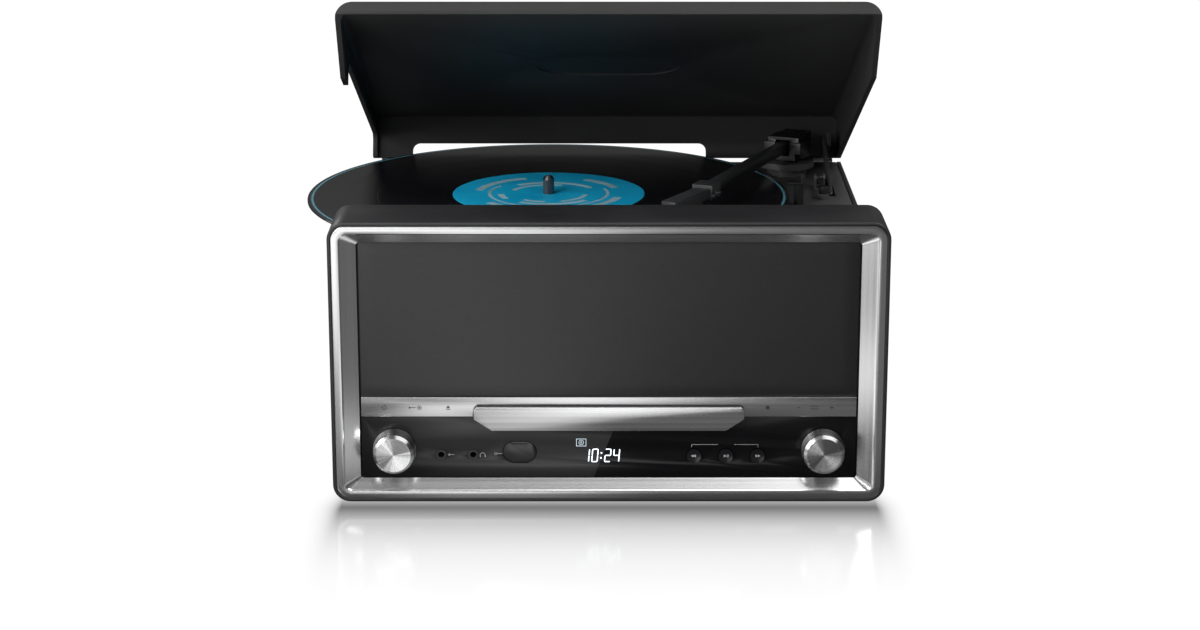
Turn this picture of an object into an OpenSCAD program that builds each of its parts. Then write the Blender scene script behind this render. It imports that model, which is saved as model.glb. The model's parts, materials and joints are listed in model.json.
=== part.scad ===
// Stereo music centre with a record deck under a hinged lid, a disc tray, and two
// loudspeakers behind a cloth panel in a silver frame.
// X runs to the right, Y to the back and Z up. The origin is on the table, at the centre
// of the cabinet's footprint. The lid is drawn standing open.

/* [Cabinet] */
// Width of the cabinet
cab_w = 313; // [305:1:330]
// Height of the cabinet without its feet
cab_h = 163; // [158:1:172]
// Depth of the cabinet
cab_d = 325; // [320:1:340]
// Thickness of the moulded walls
wall = 3; // [2.4:0.2:3.6]
// Radius of the long edges
corner_r = 10; // [8:1:12]
// Height of the feet
foot_h = 4; // [3:0.5:8]
// Diameter of the feet
foot_d = 22; // [16:1:28]
// Depth of the bar over the front panel
bar_d = 44; // [43:1:46]
// Height from the rim of the deck to the top of the bar
bar_rise = 36; // [34:1:40]
// Depth of the sloping shoulder behind the bar
shoulder_d = 40; // [34:1:46]
// Black edge left round the silver frame
edge_w = 2; // [1.5:0.1:2.4]

/* [Front] */
// Width of the flat silver rim
rim_w = 4.4; // [3.5:0.1:5.5]
// Width of the inner bevel at the sides
bevel_side = 9; // [7:0.5:9.5]
// Width of the inner bevel at the top and bottom
bevel_top = 6; // [5:0.5:7]
// Depth of the front panel behind the rim
recess_d = 6; // [5:0.5:6.5]
// Height of the control strip
strip_h = 11.5; // [10.5:0.5:13]
// Height of the lower edge of the control strip above the table
strip_z = 52.9; // [51.9:0.5:54.4]
// Width of the disc door
door_w = 152.5; // [148:0.5:156]
// Height of the disc door
door_h = 14; // [13:0.5:15]
// Size of the slanted corners of the disc door
door_cut = 10; // [7:0.5:11]

/* [Controls] */
// Diameter of the knobs at the panel
knob_d = 24.6; // [22:0.2:28]
// Height that the knobs stand out
knob_h = 12; // [8:0.5:14]
// Distance of the knobs from the side of the cabinet
knob_edge = 35; // [33.5:0.5:38]
// Height of the knobs above the table
knob_z = 33.5; // [32:0.5:35]
// Diameter of the small round buttons
button_d = 8.2; // [7:0.2:10]
// Spacing of the small round buttons
button_pitch = 18; // [14:0.5:20]
// Travel of the small round buttons
button_travel = 0.8; // [0.5:0.1:1]
// Bore of the two headphone-size jacks
jack_bore = 3.6; // [3.5:0.1:3.8]
// Width of the flap over the flat socket
flap_w = 18.6; // [18:0.2:20]
// Height of the flap over the flat socket
flap_h = 12.2; // [11.6:0.2:13]

/* [Disc tray] */
// Width of the disc tray
tray_w = 132; // [128:1:136]
// Length of the disc tray
tray_l = 142; // [138:1:150]
// Diameter of the disc recess
disc_d = 121; // [120.5:0.5:122]

/* [Record deck] */
// Distance of the spindle to the left of the centre line
spindle_left = 37; // [34:1:40]
// Distance of the spindle behind the front of the cabinet
spindle_back = 202; // [200:1:204]
// Diameter of the spindle in a record's hole
spindle_d = 7.1; // [7:0.05:7.15]
// Diameter of the platter
platter_d = 200; // [180:2:202]
// Height of the platter's top above the deck
platter_rise = 3; // [2:0.5:4]
// Thickness of the mat
mat_t = 1.7; // [1:0.1:2.5]
// Diameter of the record
record_d = 301; // [300:0.5:302]
// Thickness of the record
record_t = 1.6; // [1.4:0.1:2]
// Diameter of the record's label
label_d = 120; // [100:1:122]
// Radius of the rim that the belt drives
belt_rim_r = 70; // [66:1:72]
// Radius of the motor's pulley
pulley_r = 5; // [4:0.2:5.6]

/* [Tonearm] */
// Distance of the arm's pivot to the right of the centre line
pivot_right = 118; // [116:0.5:119]
// Distance of the arm's pivot behind the front of the cabinet
pivot_back = 290; // [287:1:293]
// Length of the arm's tube, from the pivot
tube_l = 151; // [146:1:153]
// Width of the arm's square tube
tube_w = 6.4; // [5.6:0.2:7]
// Angle of the arm over the record
arm_angle = 23.6; // [12:0.2:36]
// Angle of the head to the tube
head_angle = 6; // [0:1:12]
// Height of the tube's axis above the deck
arm_rise = 19; // [18:0.5:20]

/* [Lid] */
// Thickness of the lid's side walls
lid_wall = 3; // [2.6:0.2:3.6]
// Thickness of the lid's top
lid_top = 7.4; // [3:0.2:8]
// Angle at which the lid stands open
lid_open = 23.4; // [0:0.1:30]
// Height of the notch for the record in the left wall
side_notch_h = 15; // [13:1:17]
// Height of the notch for the record in the rear wall
rear_notch_h = 10; // [9:0.5:12]
// Length of the lid's stay between its pins
stay_l = 64.8; // [60:0.2:68]

/* [Hidden] */
$fn = 64;
eps = 0.01;
// Gaps: between fixed pieces, between moving pieces, and round a turning shaft
seat_gap = 0.3;
move_gap = 0.4;
run_gap = 0.05;

// Heights
cab_z0 = foot_h;
cab_z1 = foot_h + cab_h;
cab_mid = foot_h + cab_h / 2;
rim_z = cab_z1 - bar_rise;
deck_t = 2.5;
deck_z = rim_z;
ledge_z = deck_z - deck_t - wall;
// Places from the front to the back
rebate_d = 4;
baffle_y = 10;
baffle_t = 2.5;
back_t = 3;
back_y = cab_d - back_t;
inner_w = cab_w - 2 * wall;
knob_x = cab_w / 2 - knob_edge;
// Front panel
bezel_w = cab_w - 2 * edge_w - 0.2;
bezel_h = cab_h - 2 * edge_w - 0.2;
open_w = bezel_w - 2 * (rim_w + bevel_side);
open_h = bezel_h - 2 * (rim_w + bevel_top);
open_z0 = cab_mid - open_h / 2;
open_z1 = cab_mid + open_h / 2;
// A dark gap is left at each side of the panel
reveal = 1.1;
panel_w = open_w - 2 * reveal;
panel_y = recess_d;
strip_proud = 0.5;
// Loudspeakers
driver_x = 100;
driver_z = (strip_z + strip_h + open_z1) / 2;
driver_r = 36;
driver_l = 24;
// Disc door and tray
door_z0 = strip_z - 7.5;
door_t = 2.6;
door_gap = 0.4;
tray_h = 7.5;
tray_z = door_z0 + 2.2;
slot_w = tray_w + 2;
slot_z0 = tray_z - 1;
slot_h = tray_h + 2;
tray_y = panel_y - strip_proud - door_gap;
disc_y = tray_y + 8 + disc_d / 2;
// Chassis round the tray
chassis_w = tray_w + 8;
chassis_y = baffle_y + baffle_t + 1;
chassis_l = tray_l + 18;
chassis_z = tray_z - 5.8;
chassis_top = chassis_z + 2.5;
// Places of the small controls on the lower panel
button_x = 66.4;
button_z = 29.6;
jack_x = [-95.1, -76.9];
jack_z = 30.2;
flap_x = -50.5;
flap_z = 31.7;
display_x = -5;
display_z = 31.5;
board_y = 20;
shaft_r = 3;
// Record deck
spindle_x = -spindle_left;
well_r = platter_d / 2 + 3.5;
well_floor = deck_z - 9;
platter_z0 = well_floor + 2;
platter_z1 = deck_z + platter_rise;
record_z0 = platter_z1 + mat_t;
record_z1 = record_z0 + record_t;
belt_t = 0.8;
motor_reach = belt_rim_r + pulley_r + 9;
motor_x = spindle_x - motor_reach * cos(45);
motor_y = spindle_back - motor_reach * sin(45);
// Tonearm
arm_z = deck_z + arm_rise;
base_z = deck_z + 9;
base_r = 17.6;
// Lid: drawn shut, then turned open about the hinge
lid_gap = 0.6;
lid_z0 = rim_z + lid_gap;
lid_y0 = bar_d + lid_gap;
lid_slope_z = cab_z1 - lid_top - lid_gap;
hinge_y = cab_d + 4;
hinge_z = rim_z - 1;
hinge_x = cab_w / 2 - 15.5;
hinge_w = 20;
knuckle_r = 3;
pin_r = 1.2;
leaf_t = 1.5;
// Lid stay: its upper pin on the lid, given on the shut lid, and its lower end when open
stay_x = cab_w / 2 - 13.7;
stay_t = 2.6;
stay_pin_y = hinge_y - 34.5;
stay_pin_z = hinge_z + 6.8;
stay_angle = 19.8;
stay_slot_y = [222, 284];

black = "#17181a";
soft_black = "#232427";
silver = "#b9bbbd";
grey = "#6d6f72";

// Moves the front of the cabinet to its place, so that Y is the depth behind the front
module from_front() {
    translate([0, -cab_d / 2, 0]) children();
}

// Rectangle with round corners, about the origin
module round_rect(w, h, r) {
    square([w, h - 2 * r], center = true);
    square([w - 2 * r, h], center = true);
    for (sx = [-1, 1], sz = [-1, 1])
        translate([sx * (w / 2 - r), sz * (h / 2 - r)]) circle(r);
}

// Stadium: a bar with round ends, about the origin
module stadium(w, h) {
    square([w - h, h], center = true);
    for (s = [-1, 1]) translate([s * (w - h) / 2, 0]) circle(h / 2);
}

// Extrudes a drawing that faces the front, from depth y0 back to depth y1
module facing(y0, y1) {
    translate([0, y1, 0]) rotate([90, 0, 0]) linear_extrude(y1 - y0) children();
}

// Upright block with round corners in the front view, centred on x = 0
module front_block(w, h, r, y0, y1, z) {
    translate([0, 0, z]) facing(y0, y1) round_rect(w, h, r);
}

// Extrudes a side view, drawn as [depth, height], from x0 to x1
module side_view(x0, x1) {
    translate([x0, 0, 0]) rotate([90, 0, 90]) linear_extrude(x1 - x0) children();
}

// Box from one corner to the opposite one
module box(a, b) {
    translate(a) cube(b - a);
}

// Cylinder along Y, from depth y0 back to depth y1
module rod_y(x, z, r, y0, y1) {
    translate([x, y1, z]) rotate([90, 0, 0]) cylinder(h = y1 - y0, r = r);
}

// Cylinder along X, from x0 to x1
module rod_x(y, z, r, x0, x1) {
    translate([x0, y, z]) rotate([0, 90, 0]) cylinder(h = x1 - x0, r = r);
}

// ---------------------------------------------------------------- cabinet

boss_x = inner_w / 2 - 8;
boss_z = [cab_z0 + wall + 9, ledge_z - 28];
boss_r = 4;
boss_l = 20;
screw_r = 1.6;

module cabinet_shell() color(black) from_front() {
    difference() {
        front_block(cab_w, cab_h, corner_r, 0, cab_d, cab_mid);
        // air over the deck, behind the bar and over the shoulders
        side_view(-cab_w, cab_w) polygon([
            [bar_d, cab_z1 + 1], [bar_d, lid_slope_z], [bar_d + shoulder_d, rim_z],
            [cab_d + 1, rim_z], [cab_d + 1, cab_z1 + 1]]);
        // seat of the silver frame
        front_block(cab_w - 2 * edge_w, cab_h - 2 * edge_w, corner_r - edge_w, -1, rebate_d, cab_mid);
        // room behind the front panel, up into the bar
        front_block(inner_w, cab_h - 2 * wall, corner_r - wall, rebate_d - eps, bar_d - wall, cab_mid);
        // room under the deck
        intersection() {
            front_block(inner_w, cab_h - 2 * wall, corner_r - wall, rebate_d, cab_d + 1, cab_mid);
            box([-cab_w, 0, 0], [cab_w, cab_d + 2, ledge_z]);
        }
        // room of the deck plate and over it
        box([-inner_w / 2, bar_d, deck_z - deck_t], [inner_w / 2, cab_d + 1, cab_z1 + 1]);
        // space between the ledges that carry the deck plate
        box([-inner_w / 2 + wall, bar_d + wall, ledge_z - eps],
            [inner_w / 2 - wall, cab_d + 1, deck_z]);
        box([-inner_w / 2, back_y - seat_gap, ledge_z - eps], [inner_w / 2, cab_d + 1, deck_z]);
    }
    // posts for the rear screws
    for (s = [-1, 1], z = boss_z) difference() {
        union() {
            rod_y(s * boss_x, z, boss_r, back_y - boss_l, back_y);
            box([s > 0 ? boss_x : -inner_w / 2 - eps, back_y - boss_l, z - 1],
                [s > 0 ? inner_w / 2 + eps : -boss_x, back_y, z + 1]);
        }
        rod_y(s * boss_x, z, screw_r, back_y - boss_l + 4, back_y + 1);
    }
}

inlet_x = 108;
inlet_z = 30;
inlet_w = 22;
inlet_h = 14;
line_x = [-112, -98];
line_z = 32;
line_r = 5.5;
aerial_x = -70;

module back_panel() color(black) from_front() difference() {
    intersection() {
        front_block(inner_w - 2 * seat_gap, cab_h - 2 * wall - 2 * seat_gap,
            corner_r - wall, back_y, cab_d, cab_mid);
        box([-cab_w, 0, 0], [cab_w, cab_d + 1, rim_z - seat_gap]);
    }
    for (s = [-1, 1], z = boss_z) {
        rod_y(s * boss_x, z, screw_r + 0.2, back_y - 1, cab_d + 1);
        rod_y(s * boss_x, z, 3.2, cab_d - 1, cab_d + 1);
    }
    translate([inlet_x, 0, inlet_z]) facing(back_y - 1, cab_d + 1) square([inlet_w, inlet_h], center = true);
    for (x = line_x) rod_y(x, line_z, line_r + 0.1, back_y - 1, cab_d + 1);
    rod_y(aerial_x, line_z, line_r + 0.1, back_y - 1, cab_d + 1);
    // cooling slots over the power supply
    for (i = [0:8]) translate([inlet_x - 32 + 8 * i, 0, 72]) facing(back_y - 1, cab_d + 1)
        rotate(90) stadium(26, 2.4);
}

module feet() color(soft_black) from_front() {
    for (s = [-1, 1], y = [34, cab_d - 34])
        translate([s * (cab_w / 2 - 34), y, 0]) rotate_extrude() polygon([
            [0, 0], [foot_d / 2 - 1, 0], [foot_d / 2, 1], [foot_d / 2, foot_h], [0, foot_h]]);
}

module panel_screws() color(grey) from_front() {
    for (s = [-1, 1], z = boss_z) difference() {
        union() {
            rod_y(s * boss_x, z, screw_r - 0.1, back_y - boss_l + 6, cab_d - 1);
            rod_y(s * boss_x, z, 3, cab_d - 1, cab_d + 0.8);
        }
        for (a = [0, 90]) translate([s * boss_x, cab_d + 1, z]) rotate([0, a, 0])
            cube([3.6, 1.6, 0.8], center = true);
    }
}

// ---------------------------------------------------------------- front

// Silver frame: a flat rim and a bevel that falls to the panel
module front_bezel() color(silver) from_front() difference() {
    union() {
        front_block(bezel_w, bezel_h, corner_r - edge_w, 0, rebate_d - 0.1, cab_mid);
        front_block(inner_w - 2 * seat_gap, cab_h - 2 * wall - 2 * seat_gap,
            corner_r - wall - seat_gap, rebate_d - 0.2, baffle_y, cab_mid);
    }
    // opening, widened to the front by the bevel
    hull() {
        front_block(bezel_w - 2 * rim_w, bezel_h - 2 * rim_w, 4.5, -1, 0.05, cab_mid, $fn = 32);
        front_block(open_w, open_h, 2, panel_y - 0.3, panel_y - 0.25, cab_mid, $fn = 32);
    }
    front_block(open_w, open_h, 2, 1, baffle_y + 1, cab_mid);
}

// Board behind the front panel that carries the loudspeakers and the controls
module front_baffle() color(soft_black) from_front() difference() {
    front_block(inner_w - 2 * seat_gap, cab_h - 2 * wall - 2 * seat_gap,
        corner_r - wall - seat_gap, baffle_y, baffle_y + baffle_t, cab_mid);
    for (s = [-1, 1]) rod_y(s * driver_x, driver_z, driver_r - 4, baffle_y - 1, baffle_y + baffle_t + 1);
    tray_slot();
    for (s = [-1, 1]) rod_y(s * knob_x, knob_z, 6, baffle_y - 1, baffle_y + baffle_t + 1);
    for (x = jack_x) rod_y(x, jack_z, 4.2, baffle_y - 1, baffle_y + baffle_t + 1);
    for (i = [-1:1])
        rod_y(button_x + i * button_pitch, button_z, button_d / 2 + 1.2, baffle_y - 1, baffle_y + baffle_t + 1);
    translate([flap_x, 0, flap_z]) facing(baffle_y - 1, baffle_y + baffle_t + 1) square([17, 10], center = true);
    translate([display_x, 0, display_z]) facing(baffle_y - 1, baffle_y + baffle_t + 1)
        square([44, 18], center = true);
}

// Opening of the disc tray through the front
module tray_slot() {
    box([-slot_w / 2, -1, slot_z0], [slot_w / 2, baffle_y + baffle_t + 1, slot_z0 + slot_h]);
}

grille_z0 = strip_z + strip_h;
grille_z1 = open_z1 - seat_gap;

// Cloth panel over its frame
module speaker_grille() color("#2c2d2f") from_front()
    translate([0, 0, (grille_z0 + grille_z1) / 2]) facing(panel_y, panel_y + 1)
        round_rect(panel_w, grille_z1 - grille_z0, 1);

module grille_frame() color(black) from_front() difference() {
    translate([0, 0, (grille_z0 + grille_z1) / 2]) facing(panel_y + 1, baffle_y)
        round_rect(panel_w, grille_z1 - grille_z0, 1);
    for (s = [-1, 1]) rod_y(s * driver_x, driver_z, driver_r - 3, 0, baffle_y + 1);
    for (s = [-1, 1], i = [0:2])
        translate([s * (14 + 19 * i), 0, driver_z]) facing(0, baffle_y + 1) round_rect(14, 68, 3);
}

module speaker_baskets() color(soft_black) from_front()
    for (s = [-1, 1]) translate([s * driver_x, baffle_y + baffle_t, driver_z]) rotate([-90, 0, 0])
        difference() {
            rotate_extrude() polygon([
                [driver_r - 4, 0], [driver_r, 0], [driver_r, 2], [driver_r - 3, 2.6],
                [20, driver_l - 9], [20, driver_l - 8], [9, driver_l - 8],
                [9, driver_l - 9.4], [18, driver_l - 9.4], [driver_r - 5, 2]]);
            // openings between the spokes
            for (a = [0:60:300]) rotate(a) translate([19, -6, 5.2]) cube([12, 12, 8.4]);
        }

module speaker_cones() color("#1d1d1f") from_front()
    for (s = [-1, 1]) translate([s * driver_x, baffle_y + baffle_t, driver_z]) rotate([-90, 0, 0])
        rotate_extrude() union() {
            // cone and dust cap
            polygon([[12, 10], [driver_r - 8.6, 0.6], [driver_r - 8, 0.6], [12.5, 10.6], [0, 10.6], [0, 10]]);
            // surround
            difference() {
                translate([driver_r - 6.4, 0.6]) circle(1.9);
                translate([driver_r - 6.4, 0.6]) circle(1.4);
                translate([0, 0.6]) square([driver_r, 3]);
            }
            translate([driver_r - 8.4, 0]) square([0.6, 0.6]);
        }

module speaker_magnets() color(grey) from_front()
    for (s = [-1, 1]) translate([s * driver_x, baffle_y + baffle_t + driver_l - 8, driver_z])
        rotate([-90, 0, 0]) rotate_extrude() polygon([
            [0, 0], [20, 0], [21, 1], [21, 8], [20, 9], [8, 9], [8, 10], [0, 10]]);

module control_strip() color(silver) from_front() difference() {
    translate([0, 0, strip_z + strip_h / 2]) facing(panel_y - strip_proud, baffle_y)
        square([panel_w, strip_h - 0.1], center = true);
    tray_slot();
}

module fascia_panel() color("#0b0b0d") from_front() difference() {
    box([-panel_w / 2, panel_y, open_z0 + seat_gap], [panel_w / 2, baffle_y, strip_z - 0.05]);
    tray_slot();
    for (s = [-1, 1]) rod_y(s * knob_x, knob_z, 5, 0, baffle_y + 1);
    for (x = jack_x) rod_y(x, jack_z, 3.1, 0, baffle_y + 1);
    for (i = [-1:1])
        rod_y(button_x + i * button_pitch, button_z, button_d / 2 + 0.3, 0, baffle_y + 1);
    // recess of the flap, and the socket's opening behind it
    translate([flap_x, 0, flap_z]) {
        facing(0, panel_y + 1.8) stadium(flap_w + 0.8, flap_h + 0.8);
        facing(0, baffle_y + 1) square([15, 7.5], center = true);
    }
}

module display_module() color("#101114") from_front() {
    translate([display_x, 0, display_z]) {
        facing(baffle_y, baffle_y + 3) square([43, 17], center = true);
        facing(baffle_y + 3, board_y) square([38, 14], center = true);
    }
}

// ---------------------------------------------------------------- controls

// Turned knob with a bright chamfer; its axis points to the front
module knob(x) color(silver) from_front() translate([x, panel_y - move_gap, knob_z]) rotate([90, 0, 0])
    difference() {
        rotate_extrude() polygon([
            [0, 0], [knob_d / 2 - 0.5, 0], [knob_d / 2, 0.5], [knob_d / 2 - 0.9, knob_h - 2.2],
            [knob_d / 2 - 2.5, knob_h - move_gap], [0, knob_h - move_gap]]);
        translate([0, 0, -1]) cylinder(h = 5.5, r = shaft_r);
    }

module knob_shaft(x) color(grey) from_front() rod_y(x, knob_z, shaft_r, panel_y - move_gap - 4.5, board_y - 3);

module source_knob() knob(-knob_x);
module volume_knob() knob(knob_x);
module source_shaft() knob_shaft(-knob_x);
module volume_shaft() knob_shaft(knob_x);

module knob_encoders() color(grey) from_front()
    for (s = [-1, 1]) difference() {
        union() {
            rod_y(s * knob_x, knob_z, 4.5, panel_y + 1, baffle_y + baffle_t);
            translate([s * knob_x, 0, knob_z]) facing(baffle_y + baffle_t, board_y) square(14, center = true);
        }
        rod_y(s * knob_x, knob_z, shaft_r + run_gap, 0, board_y - 2);
    }

// Round push button with a dished face and a stem to its switch
module push_button(i) color(black) from_front() {
    x = button_x + i * button_pitch;
    difference() {
        union() {
            rod_y(x, button_z, button_d / 2, panel_y - 1, panel_y + 3);
            rod_y(x, button_z, button_d / 2 + 0.9, baffle_y + 0.4, baffle_y + 1.6);
            rod_y(x, button_z, 2, panel_y, switch_y - button_travel - 0.3);
        }
        translate([x, panel_y - 1 - 17, button_z]) sphere(17.5);
    }
}
switch_y = board_y - 4;

module previous_button() push_button(-1);
module play_button() push_button(0);
module next_button() push_button(1);

// Panel jack: a bush in the fascia, and its body on the board
module jack(x) color(black) from_front() difference() {
    union() {
        rod_y(x, jack_z, 3, panel_y - 0.4, baffle_y + baffle_t);
        translate([x, 0, jack_z]) facing(baffle_y + baffle_t, board_y) square([9, 8], center = true);
    }
    rod_y(x, jack_z, jack_bore / 2, 0, board_y - 1);
}
module audio_in_jack() jack(jack_x[0]);
module headphone_jack() jack(jack_x[1]);

module usb_socket() color(grey) from_front() translate([flap_x, 0, flap_z]) difference() {
    facing(panel_y + 2.4, board_y) square([14, 6.6], center = true);
    facing(0, board_y - 1) square([12.6, 5.2], center = true);
}

// Flap over the flat socket, hinged along its lower edge
module usb_flap() color(black) from_front() translate([flap_x, 0, flap_z]) difference() {
    facing(panel_y - 0.2, panel_y + 1.4) stadium(flap_w, flap_h);
    // finger notch at the top
    translate([0, 0, flap_h / 2 + 1.2]) facing(0, panel_y + 0.6) stadium(12, 5);
}

module control_board() color("#1f5a35") from_front() {
    box([-knob_x - 18, board_y, 11], [knob_x + 18, board_y + 1.6, 41]);
    for (i = [-1:1]) translate([button_x + i * button_pitch, 0, button_z])
        facing(switch_y, board_y) square(6, center = true);
}

module main_board() color("#1f5a35") from_front() {
    box([-60, 190, 13], [70, 300, 14.6]);
    for (x = [-54, 64], y = [196, 294]) translate([x, y, cab_z0 + wall]) cylinder(h = 13 - cab_z0 - wall, r = 3);
    box([-40, 210, 14.6], [-16, 234, 17]);
    for (i = [0:3]) translate([10 + 14 * i, 282, 14.6]) cylinder(h = 16, r = 5);
    box([14, 205, 14.6], [60, 209, 38]);
}

module power_supply() color("#8a7f5c") from_front() {
    // laminated transformer with its winding
    x = cab_w / 2 - 46.5;
    y = back_y - 41;
    box([x - 24, y - 19, cab_z0 + wall], [x + 24, y + 19, cab_z0 + wall + 40]);
    box([x - 18, y - 27, cab_z0 + wall + 8], [x + 18, y + 27, cab_z0 + wall + 32]);
}

// ---------------------------------------------------------------- disc player

module cd_chassis() color(soft_black) from_front() difference() {
    union() {
        box([-chassis_w / 2, chassis_y, chassis_z], [chassis_w / 2, chassis_y + chassis_l, chassis_top]);
        for (s = [-1, 1]) {
            side = s * (chassis_w / 2 - 1.5);
            box([side - 1.5, chassis_y, chassis_z], [side + 1.5, chassis_y + chassis_l, tray_z + tray_h + 2]);
            rail = s * (tray_w / 2 - 3);
            box([rail - 2, chassis_y, chassis_z], [rail + 2, chassis_y + chassis_l, tray_z - seat_gap]);
        }
        for (x = [-60, 60], y = [chassis_y + 14, chassis_y + chassis_l - 14])
            translate([x, y, cab_z0 + wall]) cylinder(h = chassis_z - cab_z0 - wall, r = 4);
    }
    // window under the sled, left with the two rods that it runs on
    difference() {
        box([-22, disc_y + 15, chassis_z - 1], [22, disc_y + 52, chassis_top + 1]);
        for (s = [-1, 1]) rod_y(s * 12, chassis_top - 1.3, 1, disc_y + 14, disc_y + 53);
    }
}

module cd_tray() color(soft_black) from_front() difference() {
    box([-tray_w / 2, tray_y, tray_z], [tray_w / 2, tray_y + tray_l, tray_z + tray_h]);
    translate([0, disc_y, tray_z + tray_h - 3]) cylinder(h = 4, r = disc_d / 2);
    translate([0, disc_y, tray_z + tray_h - 5]) cylinder(h = 4, r = 41);
    translate([0, disc_y, tray_z - 1]) cylinder(h = tray_h, r = 18);
    box([-18, disc_y, tray_z - 1], [18, disc_y + 42, tray_z + tray_h]);
}

// Brushed door on the front of the tray, with slanted lower corners
module cd_door() color(silver) from_front() facing(tray_y - door_t, tray_y) polygon([
    [-door_w / 2 + 1.6, door_z0 + door_h], [door_w / 2 - 1.6, door_z0 + door_h],
    [door_w / 2, door_z0 + door_h - 1.6], [door_w / 2, door_z0 + door_cut * 0.66],
    [door_w / 2 - door_cut, door_z0], [-door_w / 2 + door_cut, door_z0],
    [-door_w / 2, door_z0 + door_cut * 0.66], [-door_w / 2, door_z0 + door_h - 1.6]]);

module cd_hub() color(grey) from_front() translate([0, disc_y, chassis_top]) {
    cylinder(h = 1.2, r = 12);
    cylinder(h = tray_z - chassis_top - move_gap, r = 7);
}

module laser_sled() color(grey) from_front() {
    box([-16, disc_y + 20, chassis_top], [16, disc_y + 42, tray_z - 1.3]);
    translate([0, disc_y + 31, tray_z - 1.4]) cylinder(h = 0.9, r = 3);
}

// ---------------------------------------------------------------- record deck

speed_y = 96;
stop_y = 132;
switch_x = cab_w / 2 - 23.5;
switch_w = 5;
switch_slot = 24;

module deck_plate() color(grey) from_front() difference() {
    union() {
        box([-inner_w / 2 + seat_gap, bar_d + seat_gap, deck_z - deck_t],
            [inner_w / 2 - seat_gap, back_y - seat_gap, deck_z]);
        translate([spindle_x, spindle_back, well_floor - deck_t])
            cylinder(h = deck_z - well_floor + deck_t, r = well_r + 2.5, $fn = 128);
        // ears of the cue lever
        for (s = [-1, 1]) {
            ear = cue_x + s * 2.6;
            box([ear - 0.8, cue_y - 3, deck_z - 1], [ear + 0.8, cue_y + 3, cue_z]);
            rod_x(cue_y, cue_z, 3, ear - 0.8, ear + 0.8);
        }
    }
    rod_x(cue_y, cue_z, pin_r + run_gap, cue_x - 4, cue_x + 4);
    translate([spindle_x, spindle_back, well_floor])
        cylinder(h = deck_z - well_floor + 1, r = well_r, $fn = 128);
    // bearing, pulley, tonearm, switches and stay
    translate([spindle_x, spindle_back, well_floor - 5]) cylinder(h = 6, r = 6);
    translate([motor_x, motor_y, well_floor - 5]) cylinder(h = 6, r = 4);
    translate([pivot_right, pivot_back, deck_z - 5]) cylinder(h = 6, r = 6);
    for (y = [speed_y, stop_y])
        box([switch_x - switch_w / 2, y - switch_slot / 2, deck_z - 5],
            [switch_x + switch_w / 2, y + switch_slot / 2, deck_z + 1]);
    box([stay_x - stay_t / 2 - 0.7, stay_slot_y[0], deck_z - 5],
        [stay_x + stay_t / 2 + 0.7, stay_slot_y[1], deck_z + 1]);
}

module platter() color(soft_black) from_front() translate([spindle_x, spindle_back, 0])
    rotate_extrude($fn = 128) polygon([
        [spindle_d / 2, platter_z0 + 1], [12, platter_z0 + 1], [12, platter_z1 - 3],
        [belt_rim_r - 3, platter_z1 - 3], [belt_rim_r - 3, platter_z0], [belt_rim_r, platter_z0],
        [belt_rim_r, platter_z1 - 3], [platter_d / 2 - 4, platter_z1 - 3],
        [platter_d / 2 - 4, platter_z0], [platter_d / 2, platter_z0],
        [platter_d / 2, platter_z1 - 0.8], [platter_d / 2 - 0.8, platter_z1], [spindle_d / 2, platter_z1]]);

module platter_mat() color(black) from_front() translate([spindle_x, spindle_back, platter_z1])
    difference() {
        cylinder(h = mat_t, r = platter_d / 2 - 2, $fn = 128);
        translate([0, 0, -1]) cylinder(h = mat_t + 2, r = spindle_d / 2 + 0.4);
    }

bush_z0 = well_floor - 24;

module spindle() color(silver) from_front() translate([spindle_x, spindle_back, 0])
    rotate_extrude() polygon([
        [0, bush_z0 + 2.3], [shaft_r - 0.5, bush_z0 + 2.3], [shaft_r, bush_z0 + 2.8],
        [shaft_r, platter_z0 + 1], [spindle_d / 2, platter_z0 + 1],
        [spindle_d / 2, record_z1 + 9], [spindle_d / 2 - 0.5, record_z1 + 10.4],
        [spindle_d / 2 - 1.6, record_z1 + 11.5], [0, record_z1 + 12]]);

module spindle_bush() color("#b08d4a") from_front() translate([spindle_x, spindle_back, bush_z0])
    difference() {
        union() {
            cylinder(h = platter_z0 - bush_z0 + 0.4, r = 5.9);
            translate([0, 0, well_floor - deck_t - bush_z0 - 2]) cylinder(h = 2, r = 10);
        }
        translate([0, 0, 2]) cylinder(h = 40, r = shaft_r + run_gap);
    }

module drive_belt() color("#111111") from_front() translate([0, 0, platter_z0 + 1.5])
    linear_extrude(3.6) difference() {
        belt_line(belt_t + 0.1);
        belt_line(0.1);
    }

// Outline of the belt round the rim and the pulley, spread outwards by s
module belt_line(s) {
    hull() {
        translate([spindle_x, spindle_back]) circle(belt_rim_r + s, $fn = 96);
        translate([motor_x, motor_y]) circle(pulley_r + s, $fn = 32);
    }
}

module deck_motor() color(grey) from_front() translate([motor_x, motor_y, 0]) {
    translate([0, 0, well_floor - deck_t - 24]) cylinder(h = 24, r = 16);
    translate([0, 0, well_floor - deck_t - 24.8]) cylinder(h = 1, r = 5);
}

module motor_pulley() color("#b08d4a") from_front() translate([motor_x, motor_y, 0]) rotate_extrude()
    polygon([
        [0, well_floor - deck_t + 0.3], [1.5, well_floor - deck_t + 0.3], [1.5, platter_z0 + 0.4],
        [pulley_r + 0.8, platter_z0 + 0.4], [pulley_r + 0.8, platter_z0 + 1.1],
        [pulley_r, platter_z0 + 1.3], [pulley_r, platter_z0 + 5.3],
        [pulley_r + 0.8, platter_z0 + 5.5], [pulley_r + 0.8, platter_z0 + 6.2], [0, platter_z0 + 6.2]]);

hole_r = 3.62;

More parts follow.
